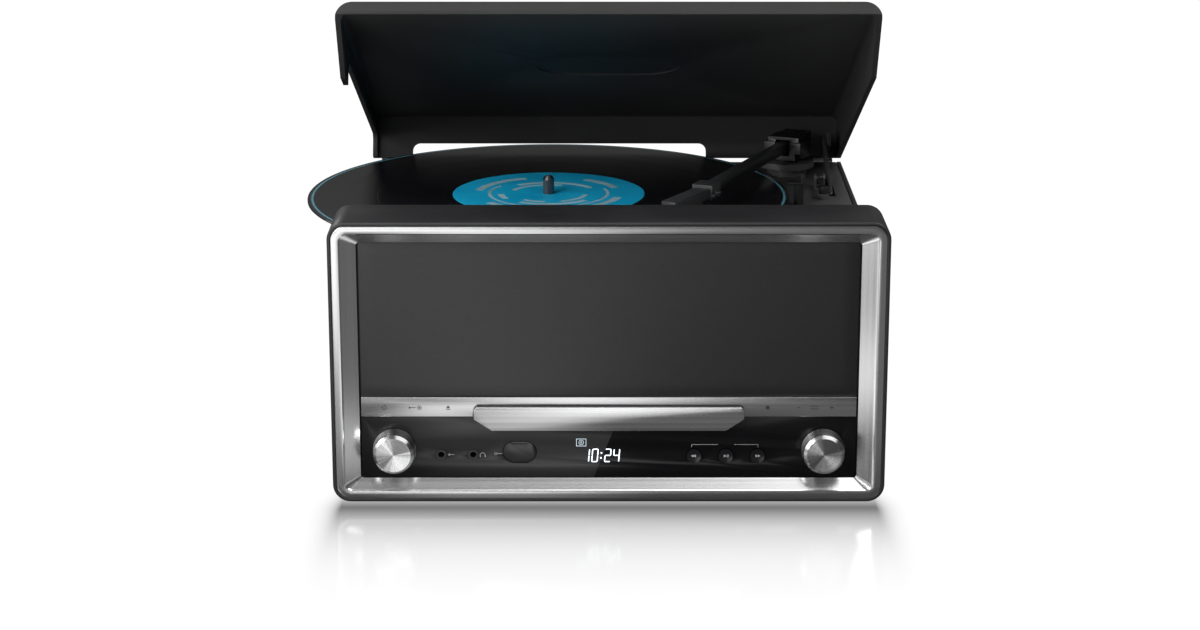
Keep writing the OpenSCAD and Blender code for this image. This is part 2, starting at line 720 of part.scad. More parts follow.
module record_disc() color("#0c0c0e") from_front() translate([spindle_x, spindle_back, 0])
    rotate_extrude($fn = 180) polygon([
        [hole_r, record_z0], [record_d / 2 - 1, record_z0], [record_d / 2, record_z0 + 0.5],
        [record_d / 2, record_z1 - 0.5], [record_d / 2 - 1, record_z1],
        [record_d / 2 - 4, record_z1], [record_d / 2 - 5, record_z1 - 0.15],
        [label_d / 2 + 6, record_z1 - 0.15], [label_d / 2 + 5, record_z1], [hole_r, record_z1]]);

module record_label() color("#1597cf") from_front() translate([spindle_x, spindle_back, record_z1])
    difference() {
        cylinder(h = 0.15, r = label_d / 2, $fn = 128);
        translate([0, 0, -1]) cylinder(h = 3, r = hole_r);
    }

// ---------------------------------------------------------------- tonearm

module at_pivot() {
    from_front() translate([pivot_right, pivot_back, 0]) rotate([0, 0, -arm_angle]) children();
}

module tonearm_base() color("#a9abad") from_front() translate([pivot_right, pivot_back, 0]) difference() {
    union() {
        translate([0, 0, deck_z]) cylinder(h = base_z - deck_z - 3.9, r = 13);
        translate([0, 0, base_z - 4]) cylinder(h = 4, r = base_r, $fn = 96);
        translate([0, 0, deck_z - 10]) cylinder(h = 12, r = 5.8);
    }
    translate([0, 0, deck_z - 8]) cylinder(h = 30, r = shaft_r + run_gap);
}

cheek_x = 5;
block_w = 25;
block_d = 20;
block_z1 = arm_z + 6.4;
cross_r = 1.5;

// Swinging block that holds the tube's cross pin
module tonearm_yoke() color(black) at_pivot() difference() {
    union() {
        box([-block_w / 2, -block_d / 2, base_z + 1.6], [block_w / 2, block_d / 2, block_z1 - 3]);
        box([-block_w / 2 + 2, -block_d / 2 + 2, block_z1 - 4], [block_w / 2 - 2, block_d / 2 - 2, block_z1]);
        translate([0, 0, base_z + seat_gap]) cylinder(h = 3, r = 8);
        translate([0, 0, deck_z - 7]) cylinder(h = base_z - deck_z + 9, r = shaft_r);
    }
    box([-cheek_x, -block_d, arm_z - 5.6], [cheek_x, block_d, arm_z + 4.4]);
    rod_x(0, arm_z, cross_r + run_gap, -block_w / 2 + 2, block_w / 2 - 2);
    // lower front corners cut back
    for (s = [-1, 1]) box([s > 0 ? 9 : -14, -block_d / 2 - 1, base_z], [s > 0 ? 14 : -9, -block_d / 2 + 8, arm_z - 4]);
}

module tonearm_tube() color("#55575a") at_pivot() {
    difference() {
        box([-tube_w / 2, -tube_l, arm_z - tube_w / 2], [tube_w / 2, 9, arm_z + tube_w / 2]);
        box([-tube_w / 2 + 1, -tube_l - 1, arm_z - tube_w / 2 + 1], [tube_w / 2 - 1, -14, arm_z + tube_w / 2 - 1]);
    }
    rod_x(0, arm_z, cross_r, -block_w / 2 + 2.4, block_w / 2 - 2.4);
}

module counterweight() color(soft_black) at_pivot()
    box([-9, 10.6, arm_z - 7], [9, 22, arm_z + 6]);

head_l = 44;
collar_l = 13;

module at_head() {
    at_pivot() translate([0, -tube_l, 0]) rotate([0, 0, -head_angle]) children();
}

module headshell() color("#3a3b3e") {
    // collar round the end of the tube
    at_pivot() difference() {
        box([-6.5, -tube_l - 1, arm_z - 4.5], [6.5, -tube_l + collar_l, arm_z + 4.2]);
        box([-tube_w / 2, -tube_l, arm_z - tube_w / 2], [tube_w / 2, -tube_l + collar_l + 1, arm_z + tube_w / 2]);
    }
    at_head() {
        box([-4.7, -head_l, arm_z - 4], [4.7, -0.4, arm_z + 2.4]);
    }
    // finger lift on the collar
    at_pivot() {
        box([6.4, -tube_l + 2, arm_z - 1.5], [10, -tube_l + 6, arm_z]);
        box([8, -tube_l - 6, arm_z - 1.5], [10, -tube_l + 6, arm_z - 0.3]);
    }
}

module cartridge() color(black) at_head() {
    box([-4.3, -head_l + 2, record_z1 + 3.4], [4.3, -8, arm_z - 4]);
    // stylus bar and tip
    box([-1.5, -head_l + 4, record_z1 + 1.6], [1.5, -head_l + 14, record_z1 + 3.5]);
    translate([0, -head_l + 6, record_z1 + 0.4]) cylinder(h = 1.4, r1 = 0.3, r2 = 0.8);
}

rest_x = pivot_right - 0.8;
rest_y = 196;

module arm_rest() color(black) from_front() {
    translate([rest_x + 2, rest_y, deck_z]) cylinder(h = arm_rise - tube_w / 2 - 1.8, r = 3);
    box([rest_x - 5, rest_y - 4, arm_z - tube_w / 2 - 1.8], [rest_x + 5.5, rest_y + 4, arm_z - tube_w / 2 - 0.4]);
    box([rest_x + 3, rest_y - 4, arm_z - tube_w / 2 - 1], [rest_x + 5.5, rest_y + 4, arm_z + 2]);
}

cue_x = cab_w / 2 - 20.5;
cue_y = 246;
cue_z = deck_z + 6;

module cue_lever() color(black) from_front() {
    rod_x(cue_y, cue_z, 3.4, cue_x - 1.5, cue_x + 1.5);
    rod_x(cue_y, cue_z, pin_r, cue_x - 3.2, cue_x + 3.2);
    box([cue_x - 1.2, cue_y - 34, cue_z - 1.4], [cue_x + 1.2, cue_y, cue_z + 1.4]);
    translate([cue_x, cue_y - 34, cue_z - 2]) cylinder(h = 4.6, r = 3);
}

module slide_cap(y) {
    box([switch_x - switch_w / 2 + 0.4, y - 11, deck_z - 6], [switch_x + switch_w / 2 - 0.4, y - 4, deck_z + 3.4]);
    box([switch_x - 5, y - 11.5, deck_z - 8], [switch_x + 5, y - 3.5, deck_z - deck_t - 0.4]);
}

module speed_switch() color(black) from_front() slide_cap(speed_y);
module stop_switch() color(black) from_front() slide_cap(stop_y);

// ---------------------------------------------------------------- lid

// Turns what is drawn on the shut lid to where the lid stands open
module lid_pose() {
    from_front() translate([0, hinge_y, hinge_z]) rotate([-lid_open, 0, 0]) translate([0, -hinge_y, -hinge_z])
        children();
}

notch_r = 5;

module lid_shell() color(soft_black) lid_pose() {
    difference() {
        intersection() {
            front_block(cab_w, cab_h, corner_r, lid_y0, cab_d, cab_mid);
            side_view(-cab_w, cab_w) polygon([
                [lid_y0, cab_z1 + 1], [lid_y0, lid_slope_z + lid_gap], [bar_d + shoulder_d + lid_gap, lid_z0],
                [cab_d + 1, lid_z0], [cab_d + 1, cab_z1 + 1]]);
        }
        front_block(cab_w - 2 * lid_wall, cab_h - 2 * lid_top, 4,
            lid_y0 - 1, cab_d - lid_wall, cab_mid);
        // notch for the record in the left wall
        box([-cab_w, 104, 0], [-cab_w / 2 + lid_wall + 1, 318, lid_z0 + side_notch_h - notch_r]);
        box([-cab_w, 104 + notch_r, 0], [-cab_w / 2 + lid_wall + 1, 318 - notch_r, lid_z0 + side_notch_h]);
        for (y = [104 + notch_r, 318 - notch_r])
            rod_x(y, lid_z0 + side_notch_h - notch_r, notch_r, -cab_w, -cab_w / 2 + lid_wall + 1);
        // notch for the record in the rear wall
        translate([spindle_x + 5, 0, lid_z0]) facing(cab_d - lid_wall - 1, cab_d + 1)
            round_rect(cab_w - 117, 2 * rear_notch_h, notch_r);
        // oval recess under the top
        translate([0, 175, cab_z1 - lid_top - 1]) linear_extrude(1.8) stadium(88, 47);
    }
    // ear of the stay
    difference() {
        box([stay_x + stay_t / 2 + 0.3, stay_pin_y - 5, stay_pin_z - 3.6],
            [stay_x + stay_t / 2 + 3, cab_d - lid_wall + eps, stay_pin_z + 5]);
        rod_x(stay_pin_y, stay_pin_z, cross_r + run_gap, 0, cab_w);
    }
}

// Leaf of the hinge at x, with its knuckles; up is 1 for the lid's leaf
module leaf(x, up) {
    third = hinge_w / 3;
    spans = up > 0 ? [[-third / 2 + 0.15, third / 2 - 0.15]]
        : [[-hinge_w / 2, -third / 2 - 0.15], [third / 2 + 0.15, hinge_w / 2]];
    translate([x, 0, 0]) difference() {
        union() {
            box([-hinge_w / 2, cab_d, up > 0 ? hinge_z + 4 : hinge_z - 20],
                [hinge_w / 2, cab_d + leaf_t, up > 0 ? hinge_z + 18 : hinge_z - 4]);
            for (s = spans) {
                rod_x(hinge_y, hinge_z, knuckle_r, s[0], s[1]);
                box([s[0], cab_d, min(hinge_z, hinge_z + up * 4.5)],
                    [s[1], cab_d + leaf_t, max(hinge_z, hinge_z + up * 4.5)]);
            }
        }
        if (up > 0) rod_x(hinge_y, hinge_z, pin_r + run_gap, -hinge_w, hinge_w);
    }
}

module cabinet_leaves() color(grey) from_front() for (s = [-1, 1]) {
    leaf(s * hinge_x, -1);
    rod_x(hinge_y, hinge_z, pin_r, s * hinge_x - hinge_w / 2 + 0.1, s * hinge_x + hinge_w / 2 - 0.1);
}

module lid_leaves() color(grey) lid_pose() for (s = [-1, 1]) leaf(s * hinge_x, 1);

// Strut from the lid's ear down into the slot of the deck
module lid_stay() color(grey) lid_pose() translate([0, stay_pin_y, stay_pin_z])
    rotate([lid_open + stay_angle, 0, 0]) {
        box([stay_x - stay_t / 2, -stay_l, -2.2], [stay_x + stay_t / 2, 0, 2.2]);
        rod_x(0, 0, 2.6, stay_x - stay_t / 2, stay_x + stay_t / 2);
        rod_x(-stay_l, 0, 2.2, stay_x - stay_t / 2, stay_x + stay_t / 2);
        rod_x(0, 0, cross_r, stay_x, stay_x + stay_t / 2 + 3);
    }

// ---------------------------------------------------------------- rear sockets

module mains_inlet() color(black) from_front() translate([inlet_x, 0, inlet_z]) difference() {
    union() {
        facing(back_y - 12, cab_d) square([inlet_w - 0.4, inlet_h - 0.4], center = true);
        facing(cab_d, cab_d + 1.5) round_rect(inlet_w + 5, inlet_h + 4, 2);
    }
    facing(back_y - 9, cab_d + 2) stadium(15, 8.6);
}

module line_sockets() color(grey) from_front() {
    for (x = line_x) difference() {
        union() {
            rod_y(x, line_z, line_r, back_y - 8, cab_d + 1);
            rod_y(x, line_z, 4.2, cab_d, cab_d + 9);
        }
        rod_y(x, line_z, 1.7, back_y - 4, cab_d + 10);
    }
    difference() {
        rod_y(aerial_x, line_z, line_r, back_y - 8, cab_d + 8);
        rod_y(aerial_x, line_z, 4.4, back_y, cab_d + 9);
    }
    rod_y(aerial_x, line_z, 1.1, back_y - 1, cab_d + 6);
}

cabinet_shell();
back_panel();
feet();
panel_screws();
front_bezel();
front_baffle();
speaker_grille();
grille_frame();
speaker_baskets();
speaker_cones();
speaker_magnets();
control_strip();
fascia_panel();
display_module();
source_knob();
volume_knob();
source_shaft();
volume_shaft();
knob_encoders();
previous_button();
play_button();
next_button();
audio_in_jack();
headphone_jack();
usb_socket();
usb_flap();
control_board();
main_board();
power_supply();
cd_chassis();
cd_tray();
cd_door();
cd_hub();
laser_sled();
deck_plate();
platter();
platter_mat();
spindle();
spindle_bush();
drive_belt();
deck_motor();
motor_pulley();
record_disc();
record_label();
tonearm_base();
tonearm_yoke();
tonearm_tube();
counterweight();
headshell();
cartridge();
arm_rest();
cue_lever();
speed_switch();
stop_switch();
lid_shell();
cabinet_leaves();
lid_leaves();
lid_stay();
mains_inlet();
line_sockets();
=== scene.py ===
"""Looks of the stereo music centre: finishes, rounded edges, prints, display, record and stage.

Lengths are in metres unless a name ends in _mm. X is right, Y is back, Z is up.
"""
import json
import math

import bmesh
import bpy
import numpy as np
from mathutils import Matrix, Vector

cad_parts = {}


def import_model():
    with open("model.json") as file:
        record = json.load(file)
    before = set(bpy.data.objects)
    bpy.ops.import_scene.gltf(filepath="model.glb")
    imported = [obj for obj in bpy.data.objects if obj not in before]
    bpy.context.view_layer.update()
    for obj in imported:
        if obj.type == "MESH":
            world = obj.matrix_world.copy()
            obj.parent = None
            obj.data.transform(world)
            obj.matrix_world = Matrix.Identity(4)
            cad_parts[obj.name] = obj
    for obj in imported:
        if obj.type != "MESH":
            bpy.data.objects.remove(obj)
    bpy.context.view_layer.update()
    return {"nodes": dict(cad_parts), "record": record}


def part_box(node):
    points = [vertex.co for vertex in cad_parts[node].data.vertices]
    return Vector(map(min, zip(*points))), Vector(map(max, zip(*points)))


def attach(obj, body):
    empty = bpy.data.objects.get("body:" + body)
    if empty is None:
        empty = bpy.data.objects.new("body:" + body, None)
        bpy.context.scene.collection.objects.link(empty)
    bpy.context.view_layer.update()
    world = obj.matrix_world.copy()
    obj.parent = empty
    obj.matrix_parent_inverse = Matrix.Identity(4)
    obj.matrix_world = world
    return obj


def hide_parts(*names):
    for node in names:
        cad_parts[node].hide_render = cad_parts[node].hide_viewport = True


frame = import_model()
MM = 0.001

# Places read from the frame
SHELL_LO, SHELL_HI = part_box("cabinet_shell")
BEZEL_LO, BEZEL_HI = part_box("front_bezel")
PANEL_LO, PANEL_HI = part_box("fascia_panel")
STRIP_LO, STRIP_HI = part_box("control_strip")
GRILLE_LO, GRILLE_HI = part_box("speaker_grille")
DISC_LO, DISC_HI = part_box("record_disc")
LABEL_LO, LABEL_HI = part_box("record_label")
FRONT = SHELL_LO.y
BEZEL_W, BEZEL_H = BEZEL_HI.x - BEZEL_LO.x, BEZEL_HI.z - BEZEL_LO.z
BEZEL_MIDDLE_Z = (BEZEL_HI.z + BEZEL_LO.z) / 2
DISC_CENTRE = tuple((DISC_HI + DISC_LO) / 2)
RECORD_R = (DISC_HI.x - DISC_LO.x) / 2
LABEL_R = (LABEL_HI.x - LABEL_LO.x) / 2

# Body and slot of each node, from the record
NODE_BODY = {n: b for b, nodes in frame["record"]["behaviour"]["bodies"].items() for n in nodes}
NODE_SLOT = {s["node"]: s["material_slot"] for s in frame["record"]["subparts"]}


def centre_of(node):
    """Middle of a node's box."""
    lo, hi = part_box(node)
    return tuple((lo + hi) / 2)


# ------------------------------------------------------------------ meshes

def add_object(name, data):
    """Object of the scene for a mesh, a camera or a lamp."""
    obj = bpy.data.objects.new(name, data)
    bpy.context.scene.collection.objects.link(obj)
    return obj


def make_object(name, verts, faces, smooth=True):
    """Object with its place in its mesh, from arrays of points and faces."""
    mesh = bpy.data.meshes.new(name)
    mesh.from_pydata(np.asarray(verts, float).tolist(), [], [list(map(int, f)) for f in faces])
    mesh.update()
    if smooth:
        mesh.shade_smooth()
    return add_object(name, mesh)


def grid_faces(rows, cols, wrap_rows=False, wrap_cols=False):
    """Quads of a grid of rows x cols points, joined round where a direction is closed."""
    i = np.arange(rows if wrap_rows else rows - 1)[:, None]
    j = np.arange(cols if wrap_cols else cols - 1)[None, :]
    next_i, next_j = (i + 1) % rows, (j + 1) % cols
    corners = (i * cols + j, i * cols + next_j, next_i * cols + next_j, next_i * cols + j)
    return np.stack(corners, -1).reshape(-1, 4)


def arc_points(radius, start, end, count):
    """Points (x, z) on a circle between two angles in degrees, both ends included."""
    t = np.radians(np.linspace(start, end, count))
    return radius * np.stack([np.cos(t), np.sin(t)], -1)


def round_outline(w, h, r, per_corner=12):
    """Rectangle with round corners: a quarter circle at each corner, as (x, z) points."""
    corners = []
    for k, (sx, sz) in enumerate([(1, 1), (-1, 1), (-1, -1), (1, -1)]):
        centre = np.array([sx * (w / 2 - r), sz * (h / 2 - r)])
        corners.append(centre + arc_points(r, 90 * k, 90 * (k + 1), per_corner))
    return np.concatenate(corners)


def outward(obj):
    """Turns the faces of a closed mesh outwards."""
    bm = bmesh.new()
    bm.from_mesh(obj.data)
    bmesh.ops.remove_doubles(bm, verts=bm.verts, dist=1e-7)
    bmesh.ops.recalc_face_normals(bm, faces=bm.faces)
    bm.to_mesh(obj.data)
    bm.free()
    return obj


def plate(name, outline, y0, y1, centre_x=0.0, centre_z=0.0):
    """Flat piece that faces the front: an outline in x and z, from depth y0 back to y1."""
    pts = np.asarray(outline, float) + [centre_x, centre_z]
    n = len(pts)
    front = np.column_stack([pts[:, 0], np.full(n, y0), pts[:, 1]])
    back = np.column_stack([pts[:, 0], np.full(n, y1), pts[:, 1]])
    faces = [list(range(n)), list(range(2 * n - 1, n - 1, -1))]
    faces += [[k, (k + 1) % n, n + (k + 1) % n, n + k] for k in range(n)]
    return outward(make_object(name, np.concatenate([front, back]), faces, smooth=False))


def ring_plate(name, r0, r1, y0, y1, x, z, start, end, n=48):
    """Flat ring that faces the front, or a part of one between two angles in degrees.

    Its section is a rectangle of four corners, from radius r0 to r1 and from depth y0 to y1,
    carried round the ring.
    """
    rows = []
    for r, y in ((r1, y0), (r0, y0), (r0, y1), (r1, y1)):
        pts = arc_points(r, start, end, n)
        rows.append(np.column_stack([pts[:, 0] + x, np.full(n, y), pts[:, 1] + z]))
    faces = grid_faces(4, n, wrap_rows=True).tolist()
    if end - start < 360:
        faces += [[0, n, 2 * n, 3 * n], [n - 1, 4 * n - 1, 3 * n - 1, 2 * n - 1]]
    return outward(make_object(name, np.concatenate(rows), faces, smooth=False))


def join(name, objects):
    """Joins objects into one piece."""
    bm = bmesh.new()
    for o in objects:
        bm.from_mesh(o.data)
        bpy.data.objects.remove(o)
    mesh = bpy.data.meshes.new(name)
    bm.to_mesh(mesh)
    bm.free()
    return add_object(name, mesh)


def finish_piece(obj, body, slot, material, *replaced):
    """Rides the piece on its body and gives it its material."""
    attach(obj, body)
    obj.data.materials.clear()
    obj.data.materials.append(material)
    if replaced:
        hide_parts(*replaced)
    return obj


def soften(node, width_mm, material):
    """Copy of a CAD node with its edges rounded by a small bevel, shown in the node's place.

    The node's loose triangles are merged first, and those of a flat face become one face.
    """
    same_point, flat, sharp = 0.002 * MM, math.radians(1.0), math.radians(32)
    mesh = frame["nodes"][node].data.copy()
    bm = bmesh.new()
    bm.from_mesh(mesh)
    bmesh.ops.remove_doubles(bm, verts=bm.verts, dist=same_point)
    bmesh.ops.dissolve_limit(bm, angle_limit=flat, verts=bm.verts, edges=bm.edges)
    bm.to_mesh(mesh)
    bm.free()
    obj = add_object(node + "_soft", mesh)
    mesh.shade_smooth()
    bevel = obj.modifiers.new("edges", "BEVEL")
    bevel.width = width_mm * MM
    bevel.segments = 2
    bevel.limit_method = "ANGLE"
    bevel.angle_limit = sharp
    bevel.harden_normals = True
    return finish_piece(obj, NODE_BODY[node], NODE_SLOT[node], material, node)


def dark_edges(obj, material):
    """Second material on every face that doesn't look to the front, as on a metal plate over plastic; on the
    door its black also stands in for the shadow line round the door, as painted shade.
    """
    front_normal_y = -0.6
    obj.data.materials.append(material)
    normals = np.empty(len(obj.data.polygons) * 3, dtype=np.float32)
    obj.data.polygons.foreach_get("normal", normals)
    obj.data.polygons.foreach_set("material_index", (normals[1::3] > front_normal_y).astype(np.int32))
    obj.data.update()


# ------------------------------------------------------------------ shader nodes

def add_node(tree, kind, **values):
    """Adds a node and sets its properties."""
    node = tree.nodes.new(kind)
    for key, value in values.items():
        setattr(node, key, value)
    return node


def feed(tree, value, socket):
    """Gives an input another node's output, or a number, vector or colour of its own."""
    if isinstance(value, bpy.types.NodeSocket):
        tree.links.new(value, socket)
    else:
        socket.default_value = value


def calc(tree, operation, *values):
    """One step of arithmetic on numbers. Returns the result."""
    node = add_node(tree, "ShaderNodeMath", operation=operation)
    for value, socket in zip(values, node.inputs):
        feed(tree, value, socket)
    return node.outputs[0]


def product(tree, *values):
    """All the values multiplied, from left to right."""
    result = values[0]
    for value in values[1:]:
        result = calc(tree, "MULTIPLY", result, value)
    return result


def vector_calc(tree, operation, *values):
    """One step of arithmetic on vectors. Returns a vector, or a number for a length or a dot product."""
    node = add_node(tree, "ShaderNodeVectorMath", operation=operation)
    for value, socket in zip(values, node.inputs):
        feed(tree, value, socket)
    return node.outputs["Value" if operation in ("LENGTH", "DOT_PRODUCT") else "Vector"]


def ramp(tree, value, start, end, low=0.0, high=1.0, curve="LINEAR"):
    """Runs from low to high while the value runs from start to end, and stays there past them."""
    node = add_node(tree, "ShaderNodeMapRange", interpolation_type=curve)
    for label, number in (("From Min", start), ("From Max", end), ("To Min", low), ("To Max", high)):
        node.inputs[label].default_value = number
    tree.links.new(value, node.inputs["Value"])
    return node.outputs["Result"]


def mix(tree, share, a, b):
    """Number between a and b, by a share of 0 to 1."""
    node = add_node(tree, "ShaderNodeMix", data_type="FLOAT")
    for value, index in ((share, 0), (a, 2), (b, 3)):
        feed(tree, value, node.inputs[index])
    return node.outputs[0]


def noise(tree, place, scale, detail):
    """Noise of 0 to 1 over a place."""
    node = add_node(tree, "ShaderNodeTexNoise")
    for label, value in (("Vector", place), ("Scale", scale), ("Detail", detail)):
        feed(tree, value, node.inputs[label])
    return node.outputs["Fac"]


def color_run(tree, value, stops):
    """Colour by a value of 0 to 1, through stops of a position and a colour each."""
    node = add_node(tree, "ShaderNodeValToRGB")
    elements = node.color_ramp.elements
    for element, (position, color) in zip(elements, (stops[0], stops[-1])):
        element.position = position
        element.color = (*color, 1.0)
    for position, color in stops[1:-1]:
        elements.new(position).color = (*color, 1.0)
    tree.links.new(value, node.inputs["Fac"])
    return node.outputs["Color"]


def object_place(tree):
    """Place of the shaded spot, in Object coordinates."""
    return add_node(tree, "ShaderNodeTexCoord").outputs["Object"]


def axes_of(tree, vector):
    """The numbers X, Y and Z of a vector, by name."""
    node = add_node(tree, "ShaderNodeSeparateXYZ")
    tree.links.new(vector, node.inputs[0])
    return node.outputs


# ------------------------------------------------------------------ shader groups

def new_group(name, inputs, outputs):
    """Group with inputs by their defaults, which are numbers or vectors, and outputs of numbers.

    Returns the group, what it is given and what it gives.
    """
    group = bpy.data.node_groups.new(name, "ShaderNodeTree")
    for label, default in inputs.items():
        kind = "NodeSocketVector" if isinstance(default, tuple) else "NodeSocketFloat"
        group.interface.new_socket(label, in_out="INPUT", socket_type=kind).default_value = default
    for label in outputs:
        group.interface.new_socket(label, in_out="OUTPUT", socket_type="NodeSocketFloat")
    return group, group.nodes.new("NodeGroupInput").outputs, group.nodes.new("NodeGroupOutput").inputs


def make_grain_group():
    """Moulded grain: fine noise for height, and slow cloudy noise for colour and gloss."""
    group, given, result = new_group(
        "moulded_grain", {"Scale": 1800.0, "Cloud scale": 18.0}, ("Height", "Cloud"))
    place = object_place(group)
    for scale, label in (("Scale", "Height"), ("Cloud scale", "Cloud")):
        group.links.new(noise(group, place, given[scale], 3.0), result[label])
    return group


def make_brushed_group():
    """Brushed metal: noise stretched along one direction by the given scales."""
    group, given, result = new_group(
        "brushed_lines", {"Stretch": (8.0, 2500.0, 2500.0)}, ("Height", "Streak"))
    place = vector_calc(group, "MULTIPLY", object_place(group), given["Stretch"])
    for label, scale, detail in (("Height", 1.0, 2.0), ("Streak", 0.22, 3.0)):
        group.links.new(noise(group, place, scale, detail), result[label])
    return group


def make_rings_group():
    """Turning marks: the sine of (distance from an axis x ring rate), the rate in radians per metre.

    The axis goes through the centre, and the mask is 0 along it. Uneven is noise by the same distance.
    """
    group, given, result = new_group(
        "turned_rings", {"Centre": (0.0, 0.0, 0.0), "Mask": (1.0, 1.0, 0.0), "Ring rate": 2000.0},
        ("Height", "Radius", "Uneven"))
    arm = vector_calc(group, "SUBTRACT", object_place(group), given["Centre"])
    radius = vector_calc(group, "LENGTH", vector_calc(group, "MULTIPLY", arm, given["Mask"]))
    by_radius = add_node(group, "ShaderNodeCombineXYZ")
    group.links.new(radius, by_radius.inputs[0])
    wave = calc(group, "SINE", calc(group, "MULTIPLY", radius, given["Ring rate"]))
    uneven = noise(group, by_radius.outputs[0], 700.0, 2.0)
    for label, value in (("Height", wave), ("Radius", radius), ("Uneven", uneven)):
        group.links.new(value, result[label])
    return group


GRAIN = make_grain_group()
BRUSHED = make_brushed_group()
RINGS = make_rings_group()


# ------------------------------------------------------------------ finishes

# A noise spends nearly all of its spots between these two values
NOISE_LOW, NOISE_HIGH = 0.3, 0.7

# Masks of the turned finishes, 0 along their axis
AXIS_UP = (1.0, 1.0, 0.0)
AXIS_FRONT = (1.0, 0.0, 1.0)


def shade(color, factor):
    """Darker or lighter form of a colour."""
    return tuple(np.minimum(np.array(color) * factor, 1.0))


class Finish:
    """A material under construction: its tree, its Principled shader and small helpers."""

    def __init__(self, name, color, roughness, metallic=0.0, specular=0.5):
        self.material = bpy.data.materials.new(name)
        self.material.use_nodes = True
        self.tree = self.material.node_tree
        self.shader = self.tree.nodes["Principled BSDF"]
        self.set("Base Color", (*color, 1.0))
        self.set("Roughness", roughness)
        self.set("Metallic", metallic)
        self.set("Specular IOR Level", specular)

    def set(self, label, value):
        """Gives an input of the shader a value or another node's output."""
        feed(self.tree, value, self.shader.inputs[label])

    def group(self, group, **values):
        """Places a shader group with its own values. Returns what it gives."""
        node = add_node(self.tree, "ShaderNodeGroup", node_tree=group)
        for key, value in values.items():
            node.inputs[key.replace("_", " ")].default_value = value
        return node.outputs

    def bump(self, height, strength, distance):
        """Raises the surface by a height."""
        node = add_node(self.tree, "ShaderNodeBump")
        for label, value in (("Height", height), ("Strength", strength), ("Distance", distance)):
            feed(self.tree, value, node.inputs[label])
        self.set("Normal", node.outputs["Normal"])

    def gloss(self, value, low, high):
        """Roughness from low to high by a noise."""
        self.set("Roughness", ramp(self.tree, value, NOISE_LOW, NOISE_HIGH, low, high))

    def tint(self, value, dark, light):
        """Base colour from dark to light by a noise."""
        self.set("Base Color", color_run(self.tree, value, [(NOISE_LOW, dark), (NOISE_HIGH, light)]))


def moulded(name, color, roughness, grain=0.12, scale=1800.0, specular=0.5, vary=0.25):
    """Moulded plastic or paint with a fine grain and slightly cloudy gloss."""
    f = Finish(name, color, roughness, specular=specular)
    g = f.group(GRAIN, Scale=scale)
    f.bump(g["Height"], grain, 0.1 * MM)
    f.gloss(g["Cloud"], roughness * 0.96, roughness * 1.05)
    f.tint(g["Cloud"], shade(color, 1 - vary), shade(color, 1 + vary))
    return f.material


def frame_metal():
    """Brushed silver of the frame: the lines run along each bar of the frame, up the sides too.

    A spot is on an upright bar where its distance from the middle, less half the frame's size, is
    larger in X than in Z.
    """
    f = Finish("frame_silver", (0.56, 0.56, 0.565), 0.3, metallic=1.0)
    along, across = 8.0, 1800.0
    place = axes_of(f.tree, object_place(f.tree))
    past = []
    for axis, middle, half in (("X", 0.0, BEZEL_W / 2), ("Z", BEZEL_MIDDLE_Z, BEZEL_H / 2)):
        away = calc(f.tree, "ABSOLUTE", calc(f.tree, "SUBTRACT", place[axis], middle))
        past.append(calc(f.tree, "SUBTRACT", away, half))
    upright = calc(f.tree, "GREATER_THAN", *past)
    level_lines = f.group(BRUSHED, Stretch=(along, across, across))
    upright_lines = f.group(BRUSHED, Stretch=(across, across, along))
    height, streak = (mix(f.tree, upright, level_lines[label], upright_lines[label])
                      for label in ("Height", "Streak"))
    f.bump(height, 0.012, 0.1 * MM)
    f.gloss(streak, 0.20, 0.23)
    f.tint(streak, (0.53, 0.53, 0.535), (0.59, 0.59, 0.595))
    return f.material


def brushed(name, color, stretch, roughness=0.3, strength=0.12):
    """Brushed metal with fine lines along one direction."""
    f = Finish(name, color, roughness, metallic=1.0)
    g = f.group(BRUSHED, Stretch=stretch)
    # light spreads across the lines: along X where the pattern is squeezed in X as much as in Z
    across = add_node(f.tree, "ShaderNodeCombineXYZ")
    across.inputs["X" if stretch[0] >= stretch[2] else "Z"].default_value = 1.0
    f.set("Tangent", across.outputs[0])
    f.set("Anisotropic", 0.3)
    f.bump(g["Height"], strength, 0.1 * MM)
    f.gloss(g["Streak"], roughness * 0.85, roughness * 1.2)
    f.tint(g["Streak"], shade(color, 0.86), shade(color, 1.08))
    return f.material


def spread_from_axis(f, centre, mask, amount):
    """Turned grooves spread light away from their axis. Returns the way out from the axis."""
    way_out = vector_calc(f.tree, "SUBTRACT", object_place(f.tree), centre)
    way_out = vector_calc(f.tree, "MULTIPLY", way_out, mask)
    f.set("Tangent", way_out)
    f.set("Anisotropic", amount)
    return way_out


def painted_highlight_wedges(tree, way_out):
    """Painted highlights and shade in wedge shapes on a turned face, by the direction from its middle.

    With x and z of that direction: 0.9 noise + 0.05 - 0.22 z - 0.55 x z.
    """
    direction = vector_calc(tree, "NORMALIZE", way_out)
    part = axes_of(tree, direction)
    rise = calc(tree, "MULTIPLY_ADD", part["Z"], -0.22, 0.05)
    sway = calc(tree, "MULTIPLY_ADD", product(tree, part["X"], part["Z"]), -0.55, rise)
    return calc(tree, "MULTIPLY_ADD", noise(tree, direction, 3.2, 1.0), 0.9, sway)


